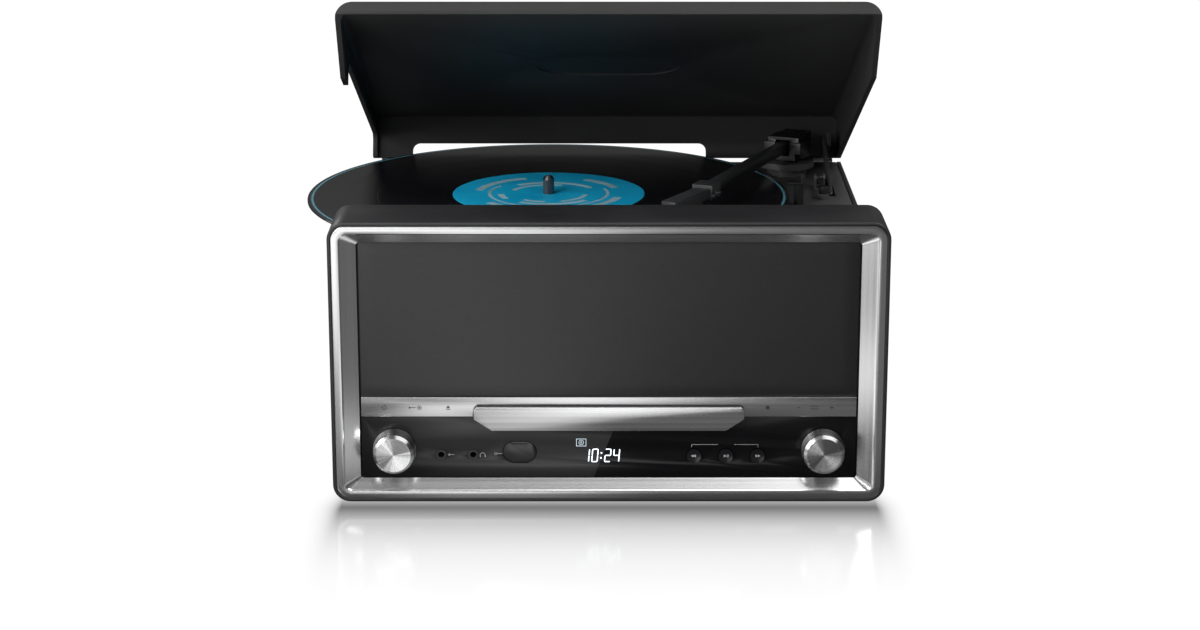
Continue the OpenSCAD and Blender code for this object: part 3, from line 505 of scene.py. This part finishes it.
def turned(name, color, centre, mask, roughness, ring_rate, strength=0.25, metallic=1.0, painted_highlights=False):
    """Turned surface with rings round an axis. A dial's face also has wedge-shaped painted highlights and
    shade in its base colour.
    """
    f = Finish(name, color, roughness, metallic=metallic)
    g = f.group(RINGS, Centre=centre, Mask=mask, Ring_rate=ring_rate)
    f.bump(g["Height"], strength, 0.05 * MM)
    f.gloss(g["Uneven"], roughness * 0.8, roughness * 1.25)
    way_out = spread_from_axis(f, centre, mask, 0.85)
    if painted_highlights:
        # painted highlights: wedge-shaped light and dark tints of the base colour, which turn with the knob
        f.tint(painted_highlight_wedges(f.tree, way_out), shade(color, 0.42), shade(color, 1.38))
    else:
        f.tint(g["Uneven"], shade(color, 0.85), shade(color, 1.1))
    return f.material


def knob_metal(name, node):
    """Turned face of a dial, with wedge-shaped painted highlights in its base colour."""
    return turned(name, (0.72, 0.72, 0.725), centre_of(node), AXIS_FRONT, roughness=0.26, ring_rate=9000.0,
                  strength=0.01, painted_highlights=True)


def cloth_material():
    """Speaker cloth: the product of a sine over X and one over Z makes the weave, with a cloudy tone."""
    f = Finish("speaker_cloth", (0.006, 0.006, 0.0065), 0.42, specular=0.6)
    threads_per_metre = 1.0 / (0.55 * MM)
    place = axes_of(f.tree, object_place(f.tree))
    waves = [calc(f.tree, "SINE", calc(f.tree, "MULTIPLY", place[axis], threads_per_metre * math.pi))
             for axis in ("X", "Z")]
    weave = product(f.tree, *waves)
    f.bump(weave, 0.2, 0.1 * MM)
    grain = f.group(GRAIN, Scale=900.0, Cloud_scale=14.0)["Height"]
    tone = calc(f.tree, "MULTIPLY_ADD", weave, 0.12, grain)
    f.tint(tone, (0.002, 0.002, 0.0023), (0.007, 0.007, 0.0073))
    return f.material


def vinyl_material():
    """Record: fine grooves, and a thin pale blue line near the edge."""
    black, blue = (0.006, 0.006, 0.008), (0.12, 0.34, 0.43)
    line_r, line_half, fade_half = RECORD_R - 3.2 * MM, 0.7 * MM, 0.91 * MM
    f = Finish("vinyl", black, 0.16)
    g = f.group(RINGS, Centre=DISC_CENTRE, Ring_rate=14000.0)
    f.bump(g["Height"], 0.2, 0.04 * MM)
    f.gloss(g["Uneven"], 0.16, 0.24)
    spread_from_axis(f, DISC_CENTRE, AXIS_UP, 0.8)
    stops = [(0.0, black), ((line_r - fade_half) / RECORD_R, black), ((line_r - line_half) / RECORD_R, blue),
             ((line_r + line_half) / RECORD_R, blue), ((line_r + fade_half) / RECORD_R, black), (1.0, black)]
    f.set("Base Color", color_run(f.tree, calc(f.tree, "DIVIDE", g["Radius"], RECORD_R), stops))
    return f.material


def fascia_material():
    """High-gloss black panel with a painted reflection: paler towards a slanted line by the figures and
    black right of it.

    The line is where 0.4 z - x has the value line. Left of it the painted reflection gets paler to the
    right and towards its top.
    """
    f = Finish("gloss_black", (0.004, 0.004, 0.005), 0.17, specular=0.25)
    lean, line_z, line_x = 0.40, 0.030, -0.003
    line = lean * line_z - line_x
    place = object_place(f.tree)
    axes = axes_of(f.tree, place)
    # painted reflection: the base colour, not a lamp, makes the panel paler left of the slanted line, to the
    # right and up
    slant = vector_calc(f.tree, "DOT_PRODUCT", place, (-1.0, 0.0, lean))
    left = ramp(f.tree, slant, line, line + 0.5 * MM)
    near = ramp(f.tree, axes["X"], -0.150, -0.010, 0.15, 1.0)
    rise = ramp(f.tree, axes["Z"], PANEL_LO.z - 4 * MM, PANEL_HI.z, 0.35, 1.0)
    stops = [(0.0, (0.0035, 0.0035, 0.0042)), (1.0, (0.045, 0.045, 0.047))]
    f.set("Base Color", color_run(f.tree, product(f.tree, left, near, rise), stops))
    return f.material


def glow_material(name, color, strength):
    """Lit print of the display."""
    f = Finish(name, color, 0.4)
    f.set("Emission Color", (*color, 1.0))
    f.set("Emission Strength", strength)
    f.bump(f.group(GRAIN, Scale=3000.0)["Height"], 0.05, 0.05 * MM)
    return f.material


def label_material():
    """Blue label paper with a fine grain and a cloudy tone."""
    f = Finish("label_blue", (0.005, 0.48, 0.84), 0.5, specular=0.3)
    g = f.group(GRAIN, Scale=2600.0, Cloud_scale=30.0)
    f.bump(g["Height"], 0.1, 0.05 * MM)
    f.tint(g["Cloud"], (0.003, 0.44, 0.78), (0.012, 0.54, 0.90))
    return f.material


# How far the brushed pattern is squeezed in X, Y and Z where its lines run level
LEVEL_LINES = (6.0, 2400.0, 2400.0)

SPINDLE_METAL = turned("spindle_metal", (0.16, 0.16, 0.165), centre_of("spindle"), AXIS_UP,
                       roughness=0.5, ring_rate=6000.0)
DOOR_SILVER = brushed("door_silver", (0.55, 0.55, 0.555), LEVEL_LINES, roughness=0.24, strength=0.06)
STAY_DARK = moulded("stay_dark", (0.03, 0.03, 0.032), 0.4, grain=0.1)
FLAP_BLACK = moulded("flap_black", (0.006, 0.006, 0.007), 0.25, grain=0.04)
KEY_BLACK = moulded("key_black", (0.006, 0.006, 0.007), 0.2, grain=0.02)
TRAY_BLACK = moulded("tray_black", (0.02, 0.02, 0.022), 0.5)
FRAME_SILVER = frame_metal()
CLOTH = cloth_material()
VINYL = vinyl_material()
LIT = glow_material("display_white", (0.85, 0.93, 1.0), 1.3)
LIT_SOFT = glow_material("badge_white", (0.5, 0.6, 0.66), 0.5)
PRINT_DARK = moulded("print_dark", (0.03, 0.03, 0.032), 0.6, grain=0.02)
PRINT_PALE = moulded("print_pale", (0.32, 0.33, 0.34), 0.6, grain=0.02)
LABEL_PALE = moulded("label_pale", (0.45, 0.72, 0.80), 0.5, grain=0.05)

# Finish of each slot, and of the nodes that differ from their slot's
SLOT_MATERIAL = {
    "black_satin": moulded("satin_black", (0.014, 0.014, 0.0155), 0.42, grain=0.16),
    "lid_black": moulded("lid_black", (0.030, 0.030, 0.030), 0.6, grain=0.2, specular=0.2, vary=0.1),
    "board_black": moulded("matt_black", (0.02, 0.02, 0.021), 0.6),
    "rubber": moulded("rubber", (0.018, 0.018, 0.018), 0.85, grain=0.3),
    "deck_grey": moulded("deck_grey", (0.05, 0.051, 0.053), 0.5, grain=0.1),
    "arm_base_grey": moulded("arm_base_grey", (0.07, 0.072, 0.075), 0.4, grain=0.06),
    "arm_dark": moulded("arm_dark", (0.03, 0.031, 0.033), 0.36, grain=0.06),
    "arm_black": moulded("arm_black", (0.012, 0.012, 0.013), 0.38, grain=0.1),
    "dark_metal": moulded("dark_metal", (0.06, 0.06, 0.065), 0.4),
    "circuit": moulded("circuit_green", (0.012, 0.09, 0.035), 0.4, grain=0.05),
    "tray_plastic": TRAY_BLACK,
    "copper_core": moulded("core", (0.22, 0.17, 0.11), 0.5, grain=0.4, scale=600),
    "cone_paper": moulded("cone_paper", (0.018, 0.018, 0.018), 0.9, grain=0.5, scale=700),
    "bright_frame": FRAME_SILVER,
    "strip": brushed("strip_silver", (0.50, 0.50, 0.505), LEVEL_LINES, roughness=0.25, strength=0.06),
    "steel": brushed("steel", (0.55, 0.55, 0.56), (900.0, 900.0, 40.0)),
    "brass": brushed("brass", (0.62, 0.45, 0.2), (600.0, 600.0, 600.0)),
    "knob_metal": knob_metal("knob_left", "source_knob"),
    "mat_rubber": turned("mat_rubber", (0.02, 0.02, 0.02), DISC_CENTRE, AXIS_UP, roughness=0.6,
                         ring_rate=3000.0, metallic=0.0),
    "cloth": CLOTH,
    "vinyl": VINYL,
    "gloss_black": fascia_material(),
    "label_blue": label_material(),
}
NODE_MATERIAL = {
    "volume_knob": knob_metal("knob_right", "volume_knob"), "spindle": SPINDLE_METAL,
    "cd_door": DOOR_SILVER, "lid_stay": STAY_DARK, "usb_flap": FLAP_BLACK,
    "previous_button": KEY_BLACK, "play_button": KEY_BLACK, "next_button": KEY_BLACK,
}
for node, slot_name in NODE_SLOT.items():
    materials = frame["nodes"][node].data.materials
    materials.clear()
    materials.append(NODE_MATERIAL.get(node, SLOT_MATERIAL[slot_name]))


# ------------------------------------------------------------------ frame, cloth and record

def bezel_frame():
    """Silver frame: a profile of (inset, depth, corner radius) points swept round the front.

    Each profile point gives a round-cornered rectangle, so the flat rim, its small radii and
    the falling bevel are one surface; rows follow the profile and columns go round.
    """
    rim_mm, rim_depth_mm, rim_corner_mm = 4.4, 0.35, 4.5
    profile_mm = [(0.0, 3.8, 8.0), (0.0, 0.5, 8.0), (0.15, 0.15, 7.9), (0.5, 0.0, 7.6),
                  (rim_mm - 0.5, 0.0, 5.0), (rim_mm - 0.15, 0.12, 4.7),
                  (rim_mm, rim_depth_mm, rim_corner_mm)]
    rows_mm = [(inset, inset, depth, radius) for inset, depth, radius in profile_mm]
    # the bevel is wider at the sides than at the top and bottom, and its inner edge goes straight back
    side_mm, top_mm, fall_mm, inner_corner_mm, behind_mm = 9.0, 6.0, 5.2, 2.0, 9.5
    for t in np.linspace(0.0, 1.0, 9)[1:]:
        rows_mm.append((rim_mm + side_mm * t, rim_mm + top_mm * t, rim_depth_mm + fall_mm * t,
                        rim_corner_mm + (inner_corner_mm - rim_corner_mm) * t))
    rows_mm.append((rim_mm + side_mm, rim_mm + top_mm, behind_mm, inner_corner_mm))
    rings = []
    for inset_x, inset_z, depth, radius in rows_mm:
        outline = round_outline(BEZEL_W - 2 * inset_x * MM, BEZEL_H - 2 * inset_z * MM, radius * MM)
        rings.append(np.column_stack([outline[:, 0], np.full(len(outline), FRONT + depth * MM),
                                      outline[:, 1] + BEZEL_MIDDLE_Z]))
    faces = grid_faces(len(rings), len(rings[0]), wrap_rows=True, wrap_cols=True)
    obj = outward(make_object("bezel_swept", np.concatenate(rings), faces))
    obj.data.set_sharp_from_angle(angle=math.radians(30))
    finish_piece(obj, "cabinet", "bright_frame", FRAME_SILVER, "front_bezel")


def grille_cloth():
    """Cloth stretched over the speaker panel: a flat grid whose edges turn back.

    With u and v from -1 to 1 over the panel, the cloth falls back by the square of how far the larger
    of |u| and |v| is past the start of the turn, as a share of what is left to the edge.
    """
    nx, nz = 60, 24
    lift, drop, turn_starts = 0.1 * MM, 0.8 * MM, 0.985
    gx, gz = np.meshgrid(np.linspace(GRILLE_LO.x, GRILLE_HI.x, nx), np.linspace(GRILLE_LO.z, GRILLE_HI.z, nz))
    u, v = np.meshgrid(np.linspace(-1, 1, nx), np.linspace(-1, 1, nz))
    fall = np.clip((np.maximum(np.abs(u), np.abs(v)) - turn_starts) / (1 - turn_starts), 0, 1)
    gy = GRILLE_LO.y + lift + drop * fall ** 2
    obj = make_object("grille_cloth", np.stack([gx, gy, gz], -1).reshape(-1, 3), grid_faces(nz, nx))
    finish_piece(obj, "cabinet", "cloth", CLOTH, "speaker_grille")


def record_surface():
    """Record: a profile of (radius, height) turned round the disc's axis.

    From the hole outwards it has the label's land, four grooved bands with gaps between them and a
    raised edge, then the rim and the underside.
    """
    hole = 3.62 * MM
    gap_z, band_z = DISC_HI.z - 0.15 * MM, DISC_HI.z - 0.10 * MM
    profile = [(hole, DISC_HI.z), (LABEL_R + 5 * MM, DISC_HI.z), (LABEL_R + 6 * MM, gap_z)]
    band_edges = [66 * MM, 88 * MM, 108 * MM, 127 * MM, RECORD_R - 5 * MM]
    for start, end in zip(band_edges[:-1], band_edges[1:]):
        profile += [(start, gap_z), (start + 0.3 * MM, band_z), (end - 1.2 * MM, band_z),
                    (end - 0.9 * MM, gap_z)]
    profile += [(RECORD_R - 4 * MM, DISC_HI.z), (RECORD_R - 1 * MM, DISC_HI.z),
                (RECORD_R - 0.4 * MM, DISC_HI.z - 0.1 * MM),
                (RECORD_R - 0.1 * MM, DISC_HI.z - 0.4 * MM), (RECORD_R - 0.1 * MM, DISC_LO.z + 0.4 * MM),
                (RECORD_R - 0.8 * MM, DISC_LO.z), (hole, DISC_LO.z)]
    radius, height = (column[:, None] for column in np.array(profile).T)
    turn = np.linspace(0, 2 * math.pi, 256, endpoint=False)[None, :]
    x = DISC_CENTRE[0] + radius * np.cos(turn)
    y = DISC_CENTRE[1] + radius * np.sin(turn)
    z = height + 0 * turn
    faces = grid_faces(*x.shape, wrap_rows=True, wrap_cols=True)
    obj = outward(make_object("record_grooved", np.stack([x, y, z], -1).reshape(-1, 3), faces))
    obj.data.set_sharp_from_angle(angle=math.radians(2))
    finish_piece(obj, "platter", "vinyl", VINYL, "record_disc")


def label_art():
    """Generic print on the label: bands of pale arcs of uneven length round the middle."""
    gap, thick, points_per_arc = 0.01 * MM, 0.03 * MM, 40
    # each band: inner and outer radius in mm, then the angles where its arcs start and end
    bands = ((22, 25, (10, 70), (95, 130), (200, 290)),
             (28, 32, (40, 125), (150, 175), (230, 330)),
             (36, 38, (-20, 60), (110, 215)),
             (42, 47, (15, 50), (75, 145), (190, 250), (300, 340)))
    arcs = []
    for r0, r1, *spans in bands:
        for start, end in spans:
            arcs.append(ring_plate("arc", r0 * MM, r1 * MM, 0.0, thick, 0, 0, start, end, points_per_arc))
    obj = join("label_print", arcs)
    # a quarter turn lays the arcs flat, with their underside at Z = 0
    obj.data.transform(Matrix.Rotation(math.radians(90), 4, "X"))
    obj.data.transform(Matrix.Translation((DISC_CENTRE[0], DISC_CENTRE[1], LABEL_HI.z + gap)))
    finish_piece(obj, "platter", "label_blue", LABEL_PALE)


# ------------------------------------------------------------------ prints and display

def print_layer(face_y):
    """Front and back of a print that stands just proud of a face."""
    return face_y - 0.05 * MM, face_y - 0.005 * MM


def print_shape(layer, x, z, points_mm):
    """Print with an outline of (x, z) points in mm round its place."""
    return plate("shape", np.array(points_mm) * MM, *layer, x, z)


def print_bar(layer, x, z, w_mm, h_mm):
    """Straight print with slightly rounded corners."""
    return plate("bar", round_outline(w_mm * MM, h_mm * MM, min(w_mm, h_mm) * 0.2 * MM, 3), *layer, x, z)


def print_ring(layer, x, z, r0_mm, r1_mm, start=0.0, end=360.0):
    """Round print between two radii, or a part of one between two angles."""
    return ring_plate("ring", r0_mm * MM, r1_mm * MM, *layer, x, z, start, end)


def strip_icons():
    """Small dark signs on the control strip: power, record, eject, stop, minus, two bars and plus."""
    layer = print_layer(STRIP_LO.y)
    z = (STRIP_LO.z + STRIP_HI.z) / 2 - 0.4 * MM
    power, record, eject, stop, minus, bars, plus = (
        x * MM for x in (-126.9, -107.0, -90.8, 89.8, 107.3, 116.3, 126.1))
    signs = [
        print_ring(layer, power, z, 1.0, 1.35, -235, 55),
        print_bar(layer, power, z + 1.0 * MM, 0.36, 1.3),
        # a ring and a dot, with an arrow to their left
        print_ring(layer, record, z, 0.95, 1.25),
        plate("dot", arc_points(0.5 * MM, 0.0, 337.5, 16), *layer, record, z),
        print_bar(layer, record - 3.6 * MM, z, 3.2, 0.34),
        print_shape(layer, record - 5.8 * MM, z, [[1.0, 0], [-0.2, 0.8], [-0.2, -0.8]]),
        # a triangle over a bar
        print_shape(layer, eject, z, [[0, 1.3], [-1.2, -0.2], [1.2, -0.2]]),
        print_bar(layer, eject, z - 0.9 * MM, 2.4, 0.45),
        print_bar(layer, stop, z, 2.2, 2.2),
        print_bar(layer, minus, z, 2.3, 0.4),
        print_bar(layer, bars, z + 0.75 * MM, 4.6, 0.45),
        print_bar(layer, bars, z - 0.75 * MM, 4.6, 0.45),
        print_bar(layer, plus, z, 2.3, 0.4),
        print_bar(layer, plus, z, 0.4, 2.3),
    ]
    finish_piece(join("strip_icons", signs), "cabinet", "strip", PRINT_DARK)


def panel_prints():
    """Pale prints on the gloss panel: the bracket over the keys and signs by the sockets."""
    layer = print_layer(PANEL_LO.y)
    line_mm = 0.22
    bracket_z = 36.2 * MM
    phones_x, phones_z = -71.6 * MM, 29.8 * MM
    input_z = 30.2 * MM
    plug_z = 30.8 * MM
    prints = [
        print_bar(layer, 54.5 * MM, bracket_z, 15.0, line_mm),
        print_bar(layer, 78.0 * MM, bracket_z, 13.5, line_mm),
        print_bar(layer, 47.0 * MM, bracket_z - 0.8 * MM, line_mm, 1.7),
        print_bar(layer, 84.7 * MM, bracket_z - 0.8 * MM, line_mm, 1.7),
        # headphones: an arc with two pads
        print_ring(layer, phones_x, phones_z, 1.3, 1.6, 0, 180),
        print_bar(layer, phones_x - 1.4 * MM, phones_z - 0.5 * MM, 0.6, 1.2),
        print_bar(layer, phones_x + 1.4 * MM, phones_z - 0.5 * MM, 0.6, 1.2),
        # an arrow for the sound input
        print_bar(layer, -89.0 * MM, input_z, 2.6, 0.3),
        print_shape(layer, -90.2 * MM, input_z, [[-1.3, 0], [0, 0.9], [0, -0.9]]),
        # a ring with a tail for the flat socket
        print_ring(layer, -64.2 * MM, plug_z, 0.55, 0.8),
        print_bar(layer, -62.0 * MM, plug_z, 3.0, 0.28),
    ]
    finish_piece(join("panel_prints", prints), "cabinet", "gloss_black", PRINT_PALE)


def key_signs():
    """Pale arrows on the three round keys, each riding on its key: back, play and pause, forward."""
    for node, way in (("previous_button", -1), ("play_button", 0), ("next_button", 1)):
        lo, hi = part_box(node)
        x, z = (lo.x + hi.x) / 2, (lo.z + hi.z) / 2
        layer = (lo.y + 0.10 * MM, lo.y + 0.42 * MM)
        side = -1 if way < 0 else 1
        arrow_mm = [[0.9 * side, 0], [-0.5 * side, 0.8], [-0.5 * side, -0.8]]
        signs = [print_shape(layer, x - side * 0.55 * MM, z, arrow_mm)]
        if way:
            signs.append(print_shape(layer, x + side * 0.75 * MM, z, arrow_mm))
        else:
            pause_bar = round_outline(0.35 * MM, 1.6 * MM, 0.1 * MM, 3)
            signs += [plate("bar", pause_bar, *layer, x + k * MM, z) for k in (0.75, 1.4)]
        finish_piece(join(node + "_sign", signs), NODE_BODY[node], "gloss_black", PRINT_PALE)


def badge():
    """Small lit sign over the figures: a round disc in a box."""
    layer = print_layer(PANEL_LO.y)
    x, z = -15.6 * MM, 37.4 * MM
    half_w, half_h, upright_h, line, corner = 2.7 * MM, 2.1 * MM, 4.5 * MM, 0.35 * MM, 0.1 * MM
    level_bar = round_outline(2 * half_w, line, corner, 3)
    upright_bar = round_outline(line, upright_h, corner, 3)
    parts = [print_ring(layer, x, z, 1.2, 1.5), print_ring(layer, x, z, 0.3, 0.6)]
    for side in (-1, 1):
        parts.append(plate("bar", level_bar, *layer, x, z + side * half_h))
        parts.append(plate("bar", upright_bar, *layer, x + side * half_w, z))
    finish_piece(join("badge", parts), "cabinet", "gloss_black", LIT_SOFT)


# Strokes of a seven-stroke figure, by the shares of its width and height where each starts and ends
STROKES = {"a": (0, 1, 1, 1), "b": (1, 1, 1, 0.5), "c": (1, 0.5, 1, 0), "d": (0, 0, 1, 0),
           "e": (0, 0, 0, 0.5), "f": (0, 0.5, 0, 1), "g": (0, 0.5, 1, 0.5)}
FIGURES = {"0": "abcdef", "1": "bc", "2": "abged", "4": "fgbc"}
FIGURE_W, FIGURE_H = 3.1 * MM, 7.4 * MM
FIGURE_PITCH, COLON_PITCH = 4.9 * MM, 2.4 * MM
STROKE_HALF = 0.30 * MM
LEAN = 0.09


def stroke_plate(start, end, x, z, layer):
    """One stroke of a figure at x, z: a bar with pointed ends. It leans to the right by its height."""
    along = (end - start) / np.linalg.norm(end - start)
    tip = along * STROKE_HALF
    across = np.array([-along[1], along[0]]) * STROKE_HALF
    pts = np.array([start, start + tip + across, end - tip + across,
                    end, end - tip - across, start + tip - across])
    pts[:, 0] += LEAN * pts[:, 1]
    return plate("stroke", pts, *layer, x, z)


def display_digits():
    """A clock reading in seven-stroke figures, white, just proud of the glass."""
    layer = (PANEL_LO.y - 0.06 * MM, PANEL_LO.y - 0.01 * MM)
    size = np.array([FIGURE_W, FIGURE_H])
    x, z = -14.6 * MM, 26.0 * MM
    dot = round_outline(0.9 * MM, 0.9 * MM, 0.2 * MM, 3)
    parts = []
    for sign in "10:24":
        if sign == ":":
            for dot_z in (0.3 * FIGURE_H, 0.7 * FIGURE_H):
                parts.append(plate("dot", dot, *layer, x + 0.2 * MM + LEAN * dot_z, z + dot_z))
            x += COLON_PITCH
            continue
        for stroke in FIGURES[sign]:
            ends = np.array(STROKES[stroke])
            parts.append(stroke_plate(ends[:2] * size, ends[2:] * size, x, z, layer))
        x += FIGURE_PITCH
    finish_piece(join("display_digits", parts), "cabinet", "gloss_black", LIT)


bezel_frame()
grille_cloth()
display_digits()
strip_icons()
panel_prints()
key_signs()
badge()
record_surface()
label_art()

# Width of the rounded edges in mm
SOFT_EDGES_MM = {
    "cabinet_shell": 0.9, "lid_shell": 0.8, "cd_door": 0.25, "control_strip": 0.15, "fascia_panel": 0.15,
    "usb_flap": 0.35, "deck_plate": 0.4, "tonearm_yoke": 0.5, "tonearm_tube": 0.5, "headshell": 0.4,
    "counterweight": 0.6, "cartridge": 0.3, "arm_rest": 0.4, "lid_stay": 0.4, "back_panel": 0.3,
    "cue_lever": 0.3,
}
for node, width_mm in SOFT_EDGES_MM.items():
    piece = soften(node, width_mm, frame["nodes"][node].data.materials[0])
    if node == "cd_door":
        # black plastic sides of the door, whose black also paints the dark shadow line round it
        dark_edges(piece, TRAY_BLACK)


# ------------------------------------------------------------------ stage

def camera():
    """Camera at the photograph's place: position, pitch, lens and shift of a 1200 pixels wide frame."""
    pitch = math.radians(15.45)
    focal_px, principal_px, frame_px, sensor_mm = 2746.5, -1.5, 1200.0, 36.0
    position = Vector((-5.8, -1476.6, 522.2)) * MM + Vector((0, FRONT, 0))
    data = bpy.data.cameras.new("camera")
    data.sensor_width = sensor_mm
    data.lens = focal_px / frame_px * sensor_mm
    data.shift_x = -principal_px / frame_px
    data.dof.use_dof = False
    obj = add_object("camera", data)
    obj.matrix_world = Matrix.Translation(position) @ Matrix.Rotation(math.pi / 2 - pitch, 4, "X")
    bpy.context.scene.camera = obj


def area_light(name, place, target, size, power):
    """Soft rectangular lamp that looks at a target."""
    data = bpy.data.lights.new(name, "AREA")
    data.shape = "RECTANGLE"
    data.size, data.size_y = size
    data.energy = power
    obj = add_object(name, data)
    obj.location = place
    obj.rotation_euler = (Vector(target) - Vector(place)).to_track_quat("-Z", "Y").to_euler()


def mirrored_patch(tree, place, ahead):
    """How bright the part mirrors a spot of the floor: a patch before its left half.

    The sideways place on the front that mirrors the spot is x / (1 + 0.68 ahead). By that place the
    patch falls off to the right, more sharply close by than far ahead, and to the left only close by.
    """
    def fade(value, start, end, low, high):
        """Soft run from low to high."""
        return ramp(tree, value, start, end, low, high, curve="SMOOTHSTEP")

    in_front = calc(tree, "MAXIMUM", ahead, 0.0)
    spot = calc(tree, "DIVIDE", place["X"], calc(tree, "MULTIPLY_ADD", in_front, 0.68, 1.0))
    far = fade(ahead, 0.20, 0.50, 0.0, 1.0)
    right_close = fade(spot, -0.055, 0.035, 1.0, 0.08)
    right_far = fade(spot, -0.08, 0.065, 1.0, 0.07)
    right = mix(tree, far, right_close, right_far)
    left = calc(tree, "MAXIMUM", fade(spot, -0.15, -0.08, 0.10, 1.0), far)
    return product(tree, right, left, fade(ahead, 0.0, 0.15, 0.12, 1.0))


def shadowed_floor(tree, place, ahead):
    """How bright the camera sees a spot of the floor: white less a soft contact shadow.

    The shadow is its depth times e to the power of -24 times the distance from the part's footprint,
    in which the distance to the side counts 8 times. It is deeper before the part's front.
    """
    white, side_weight, fall_off = 1.01, 8.0, -24.0
    half_w = (SHELL_HI.x - SHELL_LO.x) / 2 - 4 * MM
    half_d = (SHELL_HI.y - SHELL_LO.y) / 2 - 2 * MM
    away = []
    for axis, middle, half in (("X", 0.0, half_w), ("Y", (SHELL_HI.y + SHELL_LO.y) / 2, half_d)):
        off = calc(tree, "ABSOLUTE", calc(tree, "SUBTRACT", place[axis], middle))
        away.append(calc(tree, "MAXIMUM", calc(tree, "SUBTRACT", off, half), 0.0))
    beside, along = product(tree, away[0], side_weight), away[1]
    gap = calc(tree, "SQRT", calc(tree, "MULTIPLY_ADD", beside, beside, product(tree, along, along)))
    fade = calc(tree, "EXPONENT", product(tree, gap, fall_off))
    depth = ramp(tree, ahead, -0.03, 0.004, 0.22, 0.86, curve="SMOOTHSTEP")
    return calc(tree, "SUBTRACT", white, product(tree, fade, depth))


def floor_material():
    """White floor with a contact shadow for the camera, and a bright patch for what mirrors it."""
    f = Finish("floor_white", (0.9, 0.9, 0.9), 0.13, specular=0.35)
    f.bump(f.group(GRAIN, Scale=400.0)["Height"], 0.01, 0.1 * MM)
    tree = f.tree
    patch_glow, least_glow = 1.45, 0.01
    diffuse_tone, mirror_tone = 0.27, 0.04
    rays = add_node(tree, "ShaderNodeLightPath").outputs
    place = axes_of(tree, object_place(tree))
    ahead = calc(tree, "SUBTRACT", FRONT, place["Y"])
    glow = calc(tree, "MULTIPLY_ADD", mirrored_patch(tree, place, ahead), patch_glow, least_glow)
    glow = product(tree, glow, rays["Is Glossy Ray"])
    f.set("Emission Color", (1, 1, 1, 1))
    f.set("Emission Strength", mix(tree, rays["Is Camera Ray"], glow, shadowed_floor(tree, place, ahead)))
    # the base colour is black to the camera, grey to diffuse rays and near black to mirrored ones
    tone = calc(tree, "MULTIPLY_ADD", rays["Is Diffuse Ray"], diffuse_tone, mirror_tone)
    f.set("Base Color", mix(tree, rays["Is Camera Ray"], tone, 0.0))
    return f.material


def world():
    """White to the camera and through glass, and a dim grey room, brighter overhead, for the rest."""
    data = bpy.data.worlds.new("surroundings")
    bpy.context.scene.world = data
    data.use_nodes = True
    tree = data.node_tree
    tree.nodes.clear()
    rays = add_node(tree, "ShaderNodeLightPath").outputs
    height = axes_of(tree, add_node(tree, "ShaderNodeTexCoord").outputs["Generated"])["Z"]
    room = add_node(tree, "ShaderNodeBackground")
    feed(tree, (1.0, 0.99, 0.97, 1), room.inputs["Color"])
    feed(tree, ramp(tree, height, 0.1, 0.9, 0.10, 0.30), room.inputs["Strength"])
    white = add_node(tree, "ShaderNodeBackground")
    feed(tree, (1, 1, 1, 1), white.inputs["Color"])
    seen = calc(tree, "MAXIMUM", rays["Is Camera Ray"], rays["Is Transmission Ray"])
    blend = add_node(tree, "ShaderNodeMixShader")
    for value, socket in zip((seen, room.outputs[0], white.outputs[0]), blend.inputs):
        feed(tree, value, socket)
    out = add_node(tree, "ShaderNodeOutputWorld")
    feed(tree, blend.outputs[0], out.inputs["Surface"])


def stage():
    """Pale floor, white surroundings for the camera and soft lamps."""
    side, corner, thick = 8.0, 0.5, 0.01
    floor = plate("floor", round_outline(side, side, corner, 6), 0.0, thick)
    # laid flat by a quarter turn, with its top at Z = 0
    floor.data.transform(Matrix.Rotation(math.radians(-90), 4, "X"))
    top = max(v.co.z for v in floor.data.vertices)
    floor.data.transform(Matrix.Translation((0, 0, -top)))
    floor.data.materials.append(floor_material())
    world()
    # place, target, width and height in metres, power in watts
    area_light("overhead", (0.9, -0.6, 1.6), (0.15, -0.1, 0.1), (1.6, 1.6), 29.0)
    area_light("key", (-0.72, -0.95, 0.72), (-0.06, -0.10, 0.14), (0.45, 0.45), 7.5)
    area_light("left", (-1.45, -0.7, 0.7), (0, -0.1, 0.1), (0.7, 1.1), 12.0)
    area_light("front_low", (-0.7, -2.1, 0.34), (0, 0, 0.22), (1.2, 0.4), 3.5)
    area_light("back", (-1.1, 1.2, 1.1), (-0.1, 0, 0.2), (0.9, 0.5), 7.0)


camera()
stage()
bpy.context.scene.view_settings.view_transform = "Standard"
